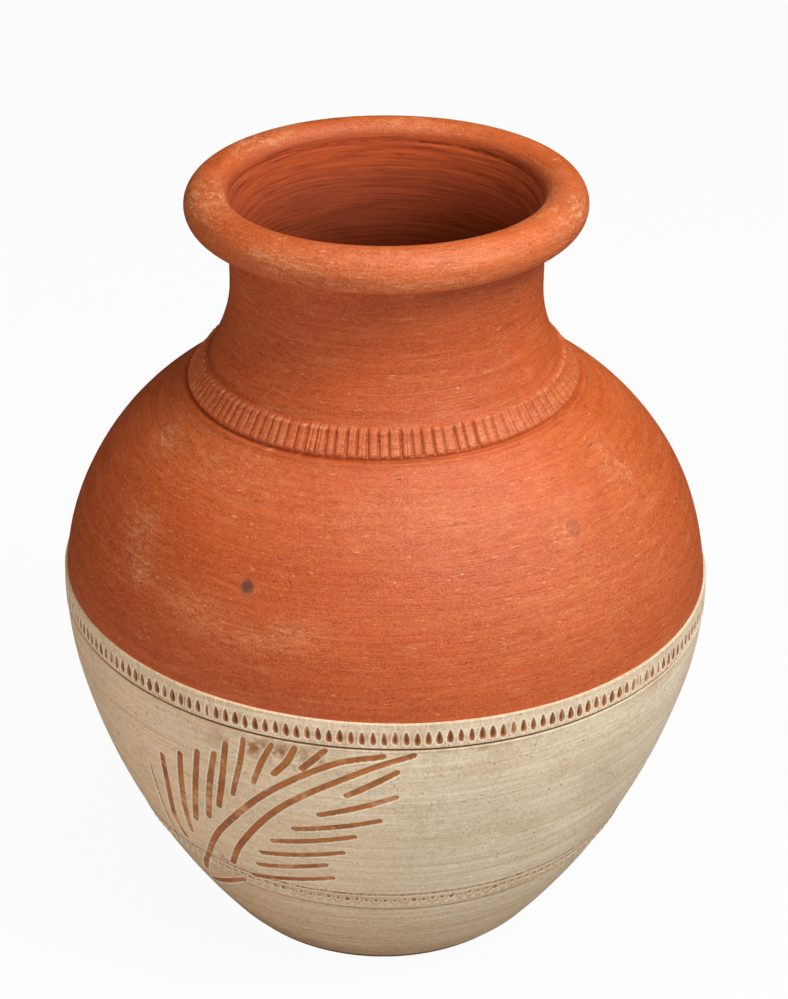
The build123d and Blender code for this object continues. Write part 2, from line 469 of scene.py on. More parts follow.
@dataclass(frozen=True)
class Patch:
    """Soft patch on a surface.

    Attributes:
        turn: where it lies round the axis, in degrees.
        height: where it lies up the pot.
        reach_round: half width along the surface.
        reach_up: half height.
        strength: value at its middle.
    """

    turn: float
    height: float
    reach_round: float
    reach_up: float
    strength: float = 1.0

    def cover(self, radius: Array, height: Array, turn: Array) -> Array:
        """Value of the patch at each point, a bell curve in both directions.

        Args:
            radius: distances from the axis.
            height: heights.
            turn: turns.

        Returns:
            The values.
        """
        aside = np.angle(np.exp(1j * (turn - math.radians(self.turn)))) * radius / self.reach_round
        above = (height - self.height) / self.reach_up
        return self.strength * np.exp(-(aside**2 + above**2))


@dataclass(frozen=True)
class Spot:
    """A round dark spot on a wall.

    Attributes:
        turn: turn of its middle, in degrees.
        height: height of its middle.
        radius: its radius.
        most: the most that it is soaked, in millimetres inside its edge; below zero it stays faint.
    """

    turn: float
    height: float
    radius: float
    most: float

    def depth(self, radius: Array, height: Array, turn: Array, out: Array) -> Array:
        """How far each point of a wall lies inside the spot.

        Args:
            radius: distances from the axis.
            height: heights.
            turn: turns.
            out: radial share of the wall's outward normal.

        Returns:
            Millimetres inside the spot's edge, below zero outside.
        """
        aside = (turn - math.radians(self.turn)) * radius
        above = (height - self.height) / out
        return np.minimum(self.radius - np.hypot(aside, above), self.most)


def ring_faces(rows: int, columns: int, closed: bool) -> Array:
    """List the four-sided faces of a grid that closes round the axis.

    Args:
        rows: section points.
        columns: turns.
        closed: whether the last section point joins the first.

    Returns:
        Four point numbers for each face, facing outward.
    """
    row = np.arange(rows if closed else rows - 1)[:, None]
    column = np.arange(columns)[None, :]
    above, beside = (row + 1) % rows, (column + 1) % columns
    here, next_row = row * columns, above * columns
    corners = (here + column, here + beside, next_row + beside, next_row + column)
    return np.stack(corners, axis=-1).reshape(-1, 4)


def node_heights(node: Node) -> tuple[float, float]:
    """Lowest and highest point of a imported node, in millimetres."""
    low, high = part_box(node.value)
    return low.z / MM, high.z / MM


def collar_heights(pressed_out: float = 0.9) -> tuple[float, float]:
    """Lowest and highest point of the collar, whose foot the wheel pressed out a little."""
    low, high = node_heights(Node.COLLAR_BAND)
    return low - pressed_out, high


class NodeBoard:
    """Places and joins shader nodes on one tree."""

    def __init__(self, tree: bpy.types.NodeTree) -> None:
        """Take a tree and clear it."""
        self.tree = tree
        tree.nodes.clear()

    def feed(self, socket: Socket, value: object) -> None:
        """Join a socket to another one, or set its value.

        Args:
            socket: input socket.
            value: socket or plain value that it takes.
        """
        if isinstance(value, Socket):
            self.tree.links.new(value, socket)
        else:
            socket.default_value = value

    def add(
        self, kind: str, sockets: dict[str | int, object] | None = None, **settings: object
    ) -> bpy.types.Node:
        """Place a node.

        Args:
            kind: the node's type.
            sockets: values or sockets for its inputs, by name or by number.
            settings: its other settings.

        Returns:
            The node.
        """
        node = self.tree.nodes.new(kind)
        for name, value in settings.items():
            setattr(node, name, value)
        for name, value in (sockets or {}).items():
            self.feed(node.inputs[name], value)
        return node

    def _sum(self, operation: str, first: object, second: object) -> Socket:
        """Work out one sum of two values or sockets."""
        return self.add("ShaderNodeMath", {0: first, 1: second}, operation=operation).outputs[0]

    def plus(self, first: object, second: object) -> Socket:
        """Add two values or sockets."""
        return self._sum("ADD", first, second)

    def minus(self, first: object, second: object) -> Socket:
        """Take the second value or socket from the first."""
        return self._sum("SUBTRACT", first, second)

    def times(self, first: object, second: object) -> Socket:
        """Multiply two values or sockets."""
        return self._sum("MULTIPLY", first, second)

    def most(self, first: object, second: object) -> Socket:
        """Take the greater of two values or sockets."""
        return self._sum("MAXIMUM", first, second)

    def blend(self, share: object, first: object, second: object) -> Socket:
        """Mix two colours, with the second one's share given first."""
        return self.add("ShaderNodeMix", {0: share, 6: first, 7: second}, data_type="RGBA").outputs[2]

    def tints(self, colour: object, *coats: tuple[object, Socket, object]) -> object:
        """Lay coats of other colours on a colour, one over the other.

        Args:
            colour: colour or socket.
            coats: each coat's colour, the mask that says where it lies, and its strength there.

        Returns:
            The socket of the last colour.
        """
        for coat, mask, strength in coats:
            colour = self.blend(self.times(mask, strength), colour, coat)
        return colour

    def span(
        self, value: object, low: object = 0.0, high: object = 1.0, first: float = 0.0, last: float = 1.0
    ) -> Socket:
        """Map a value from one span to another, held at the ends.

        Args:
            value: value or socket.
            low: value that gives the first end.
            high: value that gives the last end.
            first: result at the low end.
            last: result at the high end.

        Returns:
            The socket of the result.
        """
        sockets = {"Value": value, "From Min": low, "From Max": high, "To Min": first, "To Max": last}
        return self.add("ShaderNodeMapRange", sockets).outputs[0]

    def trait(self, trait: Trait) -> Socket:
        """Read a value that the surface carries."""
        return self.add("ShaderNodeAttribute", attribute_name=trait.value).outputs["Fac"]

    def place(self) -> Socket:
        """Read the place on the object, in metres."""
        return self.add("ShaderNodeTexCoord").outputs["Object"]

    def split(self) -> list[Socket]:
        """Read the place on the object as three sockets: to the right, to the back and up."""
        return list(self.add("ShaderNodeSeparateXYZ", {"Vector": self.place()}).outputs)

    def group(self, tree: bpy.types.NodeTree, **inputs: object) -> Socket:
        """Place a shared group with its inputs by name, and give the socket of its one result."""
        named = {name.capitalize(): value for name, value in inputs.items()}
        return self.add("ShaderNodeGroup", named, node_tree=tree).outputs[0]


class SharedMasks:
    """Node groups that several finishes share; each gives one mask."""

    def __init__(self) -> None:
        """Build each group once."""
        self.streaks = self._streaks()
        self.specks = self._specks()
        self.ragged = self._ragged()
        self.patches = self._patches()

    @staticmethod
    def _noise(
        board: NodeBoard, vector: object, scale: object, detail: float, roughness: float = 0.5
    ) -> Socket:
        """Place a noise, with finer noises of some roughness added for its detail."""
        sockets = {"Vector": vector, "Scale": scale, "Detail": detail, "Roughness": roughness}
        return board.add("ShaderNodeTexNoise", sockets).outputs[0]

    @staticmethod
    def _open(name: str, inputs: dict[str, float]) -> tuple[NodeBoard, bpy.types.Node, bpy.types.Node]:
        """Start a group with named number inputs and one mask output.

        Args:
            name: the group's name.
            inputs: input names with their usual values.

        Returns:
            The board, the group's input node and its output node.
        """
        tree = bpy.data.node_groups.new(name, "ShaderNodeTree")
        board = NodeBoard(tree)
        for label, value in inputs.items():
            socket = tree.interface.new_socket(label, in_out="INPUT", socket_type="NodeSocketFloat")
            socket.default_value = value
        tree.interface.new_socket("Mask", in_out="OUTPUT", socket_type="NodeSocketFloat")
        return board, board.add("NodeGroupInput"), board.add("NodeGroupOutput")

    def _streaks(self) -> bpy.types.NodeTree:
        """Build level streaks of wheel and brush: noise drawn out round the axis.

        Returns:
            The group.
        """
        usual = {"Around": 12.0, "Up": 600.0, "Low": 0.4, "High": 0.6}
        board, given, result = self._open("Level streaks", usual)
        stretch = ("Around", "Around", "Up")
        parts = [board.times(axis, given.outputs[name]) for axis, name in zip(board.split(), stretch)]
        drawn = board.add("ShaderNodeCombineXYZ", dict(zip("XYZ", parts))).outputs[0]
        noise = self._noise(board, drawn, scale=1.0, detail=5.0, roughness=0.6)
        board.feed(result.inputs["Mask"], board.span(noise, given.outputs["Low"], given.outputs["High"]))
        return board.tree

    def _specks(self) -> bpy.types.NodeTree:
        """Build loose specks of grit: cells of random size, most of them empty.

        Returns:
            The group.
        """
        board, given, result = self._open("Loose specks", {"Size": 300.0, "Share": 0.25})
        cells = board.add("ShaderNodeTexVoronoi", {"Vector": board.place(), "Scale": given.outputs["Size"]})
        pick = board.add("ShaderNodeSeparateColor", {"Color": cells.outputs["Color"]}).outputs[0]
        reach = board.span(pick, 1.0, board.minus(1.0, given.outputs["Share"]), first=0.34, last=0.0)
        edge = board.minus(reach, cells.outputs["Distance"])
        board.feed(result.inputs["Mask"], board.span(edge, high=0.08))
        return board.tree

    def _ragged(self) -> bpy.types.NodeTree:
        """Build the ragged edge of a mark, from the distance inside it.

        Returns:
            The group.
        """
        board, given, result = self._open("Ragged edge", {"Inside": 0.0, "Ragged": 0.8, "Soft": 0.25})
        noise = self._noise(board, board.place(), scale=900.0, detail=4.0)
        stray = board.times(board.minus(noise, 0.5), given.outputs["Ragged"])
        depth = board.plus(given.outputs["Inside"], stray)
        low = board.times(given.outputs["Soft"], -1.0)
        board.feed(result.inputs["Mask"], board.span(depth, low, given.outputs["Soft"]))
        return board.tree

    def _patches(self) -> bpy.types.NodeTree:
        """Build uneven patches at one size, broken up by finer noise.

        Returns:
            The group.
        """
        usual = {"Size": 12.0, "Low": 0.45, "High": 0.6, "Fine": 0.3}
        board, given, result = self._open("Uneven patches", usual)
        place = board.place()
        wide = self._noise(board, place, scale=given.outputs["Size"], detail=4.0)
        fine = self._noise(board, place, scale=260.0, detail=5.0, roughness=0.65)
        total = board.plus(wide, board.times(board.minus(fine, 0.5), given.outputs["Fine"]))
        board.feed(result.inputs["Mask"], board.span(total, given.outputs["Low"], given.outputs["High"]))
        return board.tree


def open_finish(name: str) -> tuple[bpy.types.Material, NodeBoard]:
    """Start a material.

    Args:
        name: its name.

    Returns:
        The material and the board for its nodes.
    """
    material = bpy.data.materials.new(name)
    material.use_nodes = True
    return material, NodeBoard(material.node_tree)


def close_finish(board: NodeBoard, colour: object, roughness: object, height: object, depth: float) -> None:
    """End a material with its shader and a fine bump.

    Args:
        board: the material's board.
        colour: socket of the base colour.
        roughness: socket of the roughness.
        height: socket of the bump's height, 0 to 1.
        depth: depth of the bump, in metres.
    """
    bump = board.add("ShaderNodeBump", {"Height": height, "Distance": depth, "Strength": 1.0})
    shader = board.add(
        "ShaderNodeBsdfPrincipled",
        {
            "Base Color": colour,
            "Roughness": roughness,
            "Normal": bump.outputs[0],
            "Specular IOR Level": CLAY_SHEEN,
        },
    )
    board.add("ShaderNodeOutputMaterial", {"Surface": shader.outputs[0]})


@dataclass(frozen=True)
class InnerClay:
    """Unwashed clay inside the pot, ringed by the wheel, with painted shade deeper in the neck.

    Attributes:
        depth_shade: colour of the painted shade deep in the neck.
        dark: darker colour of the rings.
        pale: paler colour of the rings.
        shade_height: height below which the clay is fully in painted shade, in metres.
        unshaded_height: height above which the painted shade ends, in metres.
    """

    depth_shade: Tone = tone(70, 14, 0)
    dark: Tone = tone(124, 36, 2)
    pale: Tone = tone(200, 86, 26)
    shade_height: float = 0.285
    unshaded_height: float = 0.352

    def colour(self, board: NodeBoard, masks: SharedMasks) -> Socket:
        """Colour the inner face.

        Args:
            board: the material's board.
            masks: the shared masks.

        Returns:
            The socket of the colour.
        """
        wide = board.group(masks.streaks, around=26.0, up=950.0, low=0.22, high=0.72)
        scored = board.group(masks.streaks, around=70.0, up=1300.0, low=0.54, high=0.68)
        rings = board.minus(wide, board.times(scored, 0.4))
        # Painted shade deeper in the neck.
        unshaded = board.span(board.split()[2], self.shade_height, self.unshaded_height)
        return board.blend(unshaded, self.depth_shade, board.blend(rings, self.dark, self.pale))


@dataclass(frozen=True)
class RedWash:
    """Red-ochre wash, brushed on while the pot turned and worn pale where it is handled.

    Attributes:
        deep: colour of a thick coat, and of the painted shade at the sides.
        full: colour of a usual coat.
        dust_and_sheen: colour of a thin, dusty coat, and of the painted sheen on the upper right.
        worn: colour where the wash is rubbed off, and of the painted highlight on the collar's crest and the
            rim's front.
        pit: colour of pits and cracks, and of the painted shade in hollows.
        stain: colour of the dark spots.
        thick_heights: heights between which the thick coat gives way to the usual one, in metres.
        shoulder_heights: heights between which the shoulder takes a painted sheen.
        neck_heights: heights between which the neck is less so.
        rim_heights: heights between which the rim takes more painted sheen.
        sheen_side: places from left to right between which the wash takes a painted sheen, in metres.
        left_side: places between which it darkens with painted shade towards the left.
        right_side: places between which it darkens with painted shade towards the right.
        bump: depth of its brush marks and grain, in metres.
        inner: clay of the inner face.
    """

    deep: Tone = tone(170, 62, 18)
    full: Tone = tone(206, 87, 32)
    dust_and_sheen: Tone = tone(228, 117, 54)
    worn: Tone = tone(240, 170, 118)
    pit: Tone = tone(88, 32, 10)
    stain: Tone = tone(86, 58, 54)
    thick_heights: tuple[float, float] = (0.18, 0.25)
    shoulder_heights: tuple[float, float] = (0.235, 0.265)
    neck_heights: tuple[float, float] = (0.280, 0.295)
    rim_heights: tuple[float, float] = (0.335, 0.350)
    sheen_side: tuple[float, float] = (-0.02, 0.14)
    left_side: tuple[float, float] = (0.06, -0.04)
    right_side: tuple[float, float] = (0.09, 0.14)
    bump: float = 0.00009
    inner: InnerClay = InnerClay()

    def coat(self, board: NodeBoard, masks: SharedMasks) -> Socket:
        """Colour the coat: thick low down, with painted shade towards the sides and a painted sheen on top
        and to the right.

        Args:
            board: the material's board.
            masks: the shared masks.

        Returns:
            The socket of the colour.
        """
        cloud = board.group(masks.patches, size=20.0, low=0.34, high=0.66, fine=0.5)
        mottle = board.group(masks.patches, size=95.0, low=0.36, high=0.64, fine=0.4)
        side, _, height = board.split()
        usual = board.span(board.span(height, *self.thick_heights), first=0.55, last=1.15)
        usual = board.times(board.span(cloud, first=0.25, last=0.85), usual)
        colour = board.blend(usual, self.deep, self.full)
        colour = board.tints(colour, (self.deep, mottle, 0.35))
        # Painted shade towards the left and the right sides.
        left = board.span(side, *self.left_side, last=0.5)
        right = board.span(side, *self.right_side, last=0.4)
        colour = board.blend(board.plus(left, right), colour, self.deep)
        # Painted sheen on the shoulder's top, the rim and the right side.
        shoulder = board.span(height, *self.shoulder_heights, last=0.2)
        above = board.minus(shoulder, board.span(height, *self.neck_heights, last=0.15))
        above = board.plus(above, board.span(height, *self.rim_heights, last=0.25))
        painted_sheen = board.plus(board.span(side, *self.sheen_side, last=0.28), above)
        painted_sheen = board.times(painted_sheen, board.span(cloud, first=0.7, last=1.0))
        return board.blend(painted_sheen, colour, self.dust_and_sheen)

    def make(self, masks: SharedMasks) -> bpy.types.Material:
        """Build the material.

        Args:
            masks: the shared masks.

        Returns:
            The material.
        """
        material, board = open_finish("red_wash_finish")
        brush = board.group(masks.streaks, around=12.0, up=560.0, low=0.40, high=0.70)
        hair = board.group(masks.streaks, around=46.0, up=1700.0, low=0.48, high=0.70)
        crack = board.group(masks.streaks, around=160.0, up=1400.0, low=0.60, high=0.72)
        fleck = board.group(masks.streaks, around=230.0, up=1150.0, low=0.62, high=0.72)
        grain = board.group(masks.patches, size=1100.0, low=0.38, high=0.62, fine=0.3)
        grit = board.group(masks.patches, size=1400.0, low=0.52, high=0.68, fine=0.2)
        smear = board.group(masks.streaks, around=55.0, up=330.0, low=0.54, high=0.72)
        shadow = board.group(masks.streaks, around=42.0, up=260.0, low=0.52, high=0.70)
        dashes = board.group(masks.streaks, around=150.0, up=640.0, low=0.50, high=0.66)
        crumb = board.group(masks.specks, size=520.0, share=0.35)
        pit = board.group(masks.specks, size=700.0, share=0.05)
        spot = board.group(masks.ragged, inside=board.trait(Trait.STAIN), ragged=2.8, soft=0.9)
        rubbed = board.plus(board.times(dashes, 0.5), board.times(grain, 0.25))
        # Wear; on the collar's crest and the rim's front also a painted highlight.
        worn = board.times(board.most(rubbed, crumb), board.trait(Trait.WEAR_AND_SHEEN))
        colour = board.tints(
            self.coat(board, masks),
            (self.deep, shadow, 0.5),
            (self.worn, smear, 0.22),
            (self.dust_and_sheen, brush, 0.30),
            (self.deep, hair, 0.40),
            (self.dust_and_sheen, grain, 0.45),
            (self.deep, grit, 0.45),
            (self.worn, fleck, 0.65),
            (self.pit, crack, 0.45),
            (self.worn, worn, 1.0),
            (self.pit, pit, 0.6),
            # Painted shade in the hollows beside and in the collar.
            (self.pit, board.trait(Trait.PAINTED_SHADE), board.span(grain, first=0.8, last=0.5)),
            (self.stain, spot, 0.8),
        )
        inside = board.trait(Trait.INSIDE)
        colour = board.blend(inside, colour, self.inner.colour(board, masks))
        rough = board.span(board.plus(brush, worn), high=1.5, first=0.48, last=0.62)
        heights = (self.inner.shade_height, self.inner.unshaded_height)
        inner_rough = board.span(board.split()[2], *heights, first=0.3, last=0.9)
        rough = board.times(rough, board.minus(1.0, inside))
        rough = board.plus(rough, board.times(inside, inner_rough))
        relief = board.minus(board.plus(grain, brush), board.plus(hair, crack))
        relief = board.times(relief, board.span(inside, first=1.0, last=0.25))
        close_finish(board, colour, rough, relief, self.bump)
        return material


@dataclass(frozen=True)
class BareClay:
    """Clay without wash or slip, in cut lines, under the foot and inside.

    Attributes:
        dark: darker colour of its clouds.
        pale: paler colour of its clouds.
        red: colour of its redder patches.
        gap_shade: colour of what gathers in the cut lines.
        bump: depth of its rings, in metres.
        inner: clay of the inner face.
    """

    dark: Tone = tone(142, 78, 30)
    pale: Tone = tone(212, 140, 74)
    red: Tone = tone(184, 92, 44)
    # gap_shade: colour of the painted shade in the cut lines.
    gap_shade: Tone = tone(104, 80, 54)
    bump: float = 0.0001
    inner: InnerClay = InnerClay()

    def make(self, masks: SharedMasks) -> bpy.types.Material:
        """Build the material.

        Args:
            masks: the shared masks.

        Returns:
            The material.
        """
        material, board = open_finish("bare_clay_finish")
        cloud = board.group(masks.patches, size=60.0, low=0.38, high=0.62, fine=0.6)
        fine = board.group(masks.patches, size=330.0, low=0.38, high=0.62, fine=0.4)
        rust = board.group(masks.patches, size=36.0, low=0.48, high=0.60, fine=0.4)
        grit = board.group(masks.specks, size=600.0, share=0.12)
        colour = board.tints(
            board.blend(board.span(cloud, first=0.2, last=0.9), self.dark, self.pale),
            (self.red, rust, 0.6),
            (self.dark, fine, 0.35),
            (self.inner.dark, grit, 0.5),
            # Painted shade in the bare line under the waist band.
            (self.gap_shade, board.trait(Trait.PAINTED_SHADE), 0.85),
        )
        colour = board.blend(board.trait(Trait.INSIDE), colour, self.inner.colour(board, masks))
        rings = board.group(masks.streaks, around=18.0, up=700.0, low=0.35, high=0.68)
        close_finish(board, colour, board.span(cloud, first=0.75, last=0.88), rings, self.bump)
        return material


@dataclass(frozen=True)
class CreamSlip:
    """Cream slip, wiped on in level strokes, thin in places and scraped off in the marks.

    Attributes:
        full: colour of thick slip.
        warm: colour of usual slip.
        grey: colour of its grey clouds.
        tan: colour of the stain on the left, and of the film that is left in a mark.
        thin: colour of slip that is worn thin, and of the painted shade in hollows.
        soil: colour of soiled slip, and of the slip's darker, browner bottom.
        smudge: colour of rubbed-in clay.
        rust: redder colour of the clay in a mark.
        clay: usual colour of the clay in a mark.
        brown: browner colour of the clay in a mark.
        deep: colour of the painted shade along a mark's edges and in its depths.
        speck: colour of grit.
        browner_height: height below which the slip turns darker and browner towards the bottom, in metres.
        low_side: places from left to right between which that darkening grows less, in metres.
        left_side: places between which the slip turns stained towards the left, in metres.
        burr: millimetres inside a mark, below zero, between which the burr beside it turns pale, as thick
            slip and as a painted highlight.
        edge: millimetres inside a mark between which the painted shade along its edge ends.
        depth: millimetres inside a mark between which it turns to painted shade in its depth.
        bump: depth of its wipe marks and grain, in metres.
    """

    full: Tone = tone(252, 241, 217)
    warm: Tone = tone(220, 194, 155)
    grey: Tone = tone(206, 186, 154)
    tan: Tone = tone(252, 200, 146)
    thin: Tone = tone(184, 142, 92)
    soil: Tone = tone(167, 113, 50)
    smudge: Tone = tone(168, 110, 60)
    rust: Tone = tone(184, 96, 52)
    clay: Tone = tone(192, 118, 54)
    brown: Tone = tone(142, 86, 44)
    deep: Tone = tone(116, 64, 30)
    speck: Tone = tone(96, 66, 46)
    browner_height: float = 0.10
    low_side: tuple[float, float] = (0.0, 0.065)
    left_side: tuple[float, float] = (0.026, -0.104)
    burr: tuple[float, float] = (-1.2, -0.4)
    edge: tuple[float, float] = (-0.1, 0.14)
    depth: tuple[float, float] = (0.5, 1.1)
    bump: float = 0.00008

    def scraped(self, board: NodeBoard, masks: SharedMasks, bare: Socket) -> Socket:
        """Colour the clay in a mark, with painted shade along its edge and in its depth.

        Args:
            board: the material's board.
            masks: the shared masks.
            bare: millimetres inside the mark.

        Returns:
            The socket of the colour.
        """
        redder = board.group(masks.patches, size=40.0, low=0.44, high=0.62, fine=0.5)
        dragged = board.group(masks.patches, size=120.0, low=0.44, high=0.64, fine=0.8)
        filmed = board.group(masks.patches, size=75.0, low=0.54, high=0.70, fine=0.9)
        coats = ((self.rust, redder, 0.7), (self.brown, dragged, 0.6), (self.tan, filmed, 0.45))
        ground = board.tints(self.clay, *coats)
        # Painted shade along the mark's edge and in its depth.
        ground = board.blend(board.span(bare, *self.edge), self.deep, ground)
        return board.blend(board.span(bare, *self.depth), ground, self.deep)

    def make(self, masks: SharedMasks) -> bpy.types.Material:
        """Build the material.

        Args:
            masks: the shared masks.

        Returns:
            The material.
        """
        material, board = open_finish("cream_slip_finish")
        wipe = board.group(masks.streaks, around=7.0, up=420.0, low=0.34, high=0.68)
        drag = board.group(masks.streaks, around=5.0, up=140.0, low=0.40, high=0.64)
        hair = board.group(masks.streaks, around=26.0, up=1700.0, low=0.46, high=0.72)
        thin = board.group(masks.streaks, around=12.0, up=700.0, low=0.54, high=0.74)
        crack = board.group(masks.streaks, around=130.0, up=1300.0, low=0.60, high=0.72)
        cloud = board.group(masks.patches, size=16.0, low=0.36, high=0.66, fine=0.35)
        grain = board.group(masks.patches, size=700.0, low=0.34, high=0.66, fine=0.3)
        dust = board.group(masks.patches, size=850.0, low=0.50, high=0.66, fine=0.3)
        blotch = board.group(masks.patches, size=34.0, low=0.50, high=0.68, fine=0.9)
        rubbed = board.group(masks.patches, size=150.0, low=0.42, high=0.62, fine=0.5)
        speck = board.group(masks.specks, size=560.0, share=0.12)
        side, _, height = board.split()
        # Darker and browner towards the bottom, less so on the right.
        low = board.span(height, self.browner_height, 0.0, last=0.95)
        low = board.times(low, board.span(side, *self.low_side, first=1.0, last=0.65))
        left = board.span(side, *self.left_side, last=0.85)
        patchy = board.span(wipe, first=0.6, last=1.0)
        scuffed = board.span(board.most(low, left), first=0.4, last=0.9)
        colour = board.tints(
            board.blend(wipe, self.full, self.warm),
            (self.warm, drag, 0.5),
            (self.grey, cloud, 0.35),
            (self.tan, left, patchy),
            (self.soil, low, patchy),
            (self.thin, thin, scuffed),
            (self.soil, hair, 0.4),
            (self.thin, crack, 0.5),
            (self.thin, blotch, 0.28),
            (self.full, grain, 0.3),
            (self.thin, dust, 0.3),
            (self.smudge, rubbed, board.trait(Trait.WEAR_AND_SHEEN)),
            # Painted shade in the hollows of the lower band.
            (self.thin, board.trait(Trait.PAINTED_SHADE), 1.0),
            (self.speck, speck, 0.7),
        )
        bare = board.trait(Trait.BARE)
        mark = board.group(masks.ragged, inside=bare, ragged=0.6, soft=0.15)
        # Pale beside a mark: thick slip in the burr and a painted highlight; on the lower band's peaks a
        # painted highlight.
        colour = board.blend(board.span(bare, *self.burr, last=0.55), colour, self.full)
        colour = board.blend(mark, colour, self.scraped(board, masks, bare))
        rough = board.span(wipe, first=0.60, last=0.76)
        relief = board.minus(board.plus(wipe, grain), board.plus(hair, mark))
        close_finish(board, colour, rough, relief, self.bump)
        return material


def make_finishes() -> dict[Slot, bpy.types.Material]:
    """Build the pot's three finishes from one set of shared masks.

    Returns:
        The material of each slot.
    """
    masks = SharedMasks()
    finishes = {Slot.RED_WASH: RedWash(), Slot.BARE_CLAY: BareClay(), Slot.CREAM_SLIP: CreamSlip()}
    return {slot: finish.make(masks) for slot, finish in finishes.items()}


@dataclass
class PotPart:
    """What every part of the pot goes by.

    Attributes:
        outline: outer face of the wall.
        warp: how the pot strays from true.
        finishes: the material of each slot.
    """

    outline: Outline
    warp: HandWarp
    finishes: dict[Slot, bpy.types.Material]

    def piece(
        self, node: Node, slot: Slot, places: Array, traits: dict[Trait, Array], faces: list | None = None
    ) -> None:
        """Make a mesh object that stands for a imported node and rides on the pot's one body.

        Args:
            node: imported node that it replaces.
            slot: material slot of the record, which gives its finish.
            places: places in millimetres, with the three coordinates last.
            traits: values at the places.
            faces: point numbers of each face; without them the places are a ring that closes both ways.
        """
        faces = faces or ring_faces(*places.shape[:2], closed=True).tolist()
        points = places.reshape(-1, 3)
        mesh = bpy.data.meshes.new(f"{node.value}_skin")
        mesh.from_pydata((points * MM).tolist(), [], faces)
        for trait, plain in PLAIN.items():
            values = np.full(len(points), plain, dtype=np.float32)
            values[:] = np.ravel(traits.get(trait, plain))
            mesh.attributes.new(trait.value, "FLOAT", "POINT").data.foreach_set("value", values)
        mesh.polygons.foreach_set("use_smooth", np.ones(len(mesh.polygons), dtype=bool))
        mesh.materials.append(self.finishes[slot])
        mesh.update()
        piece = bpy.data.objects.new(f"{node.value}_skin", mesh)
        bpy.context.collection.objects.link(piece)
        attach(piece, BODY)
        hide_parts(node.value)
        LOG.info("%s: %d points, %d faces", piece.name, len(mesh.vertices), len(mesh.polygons))


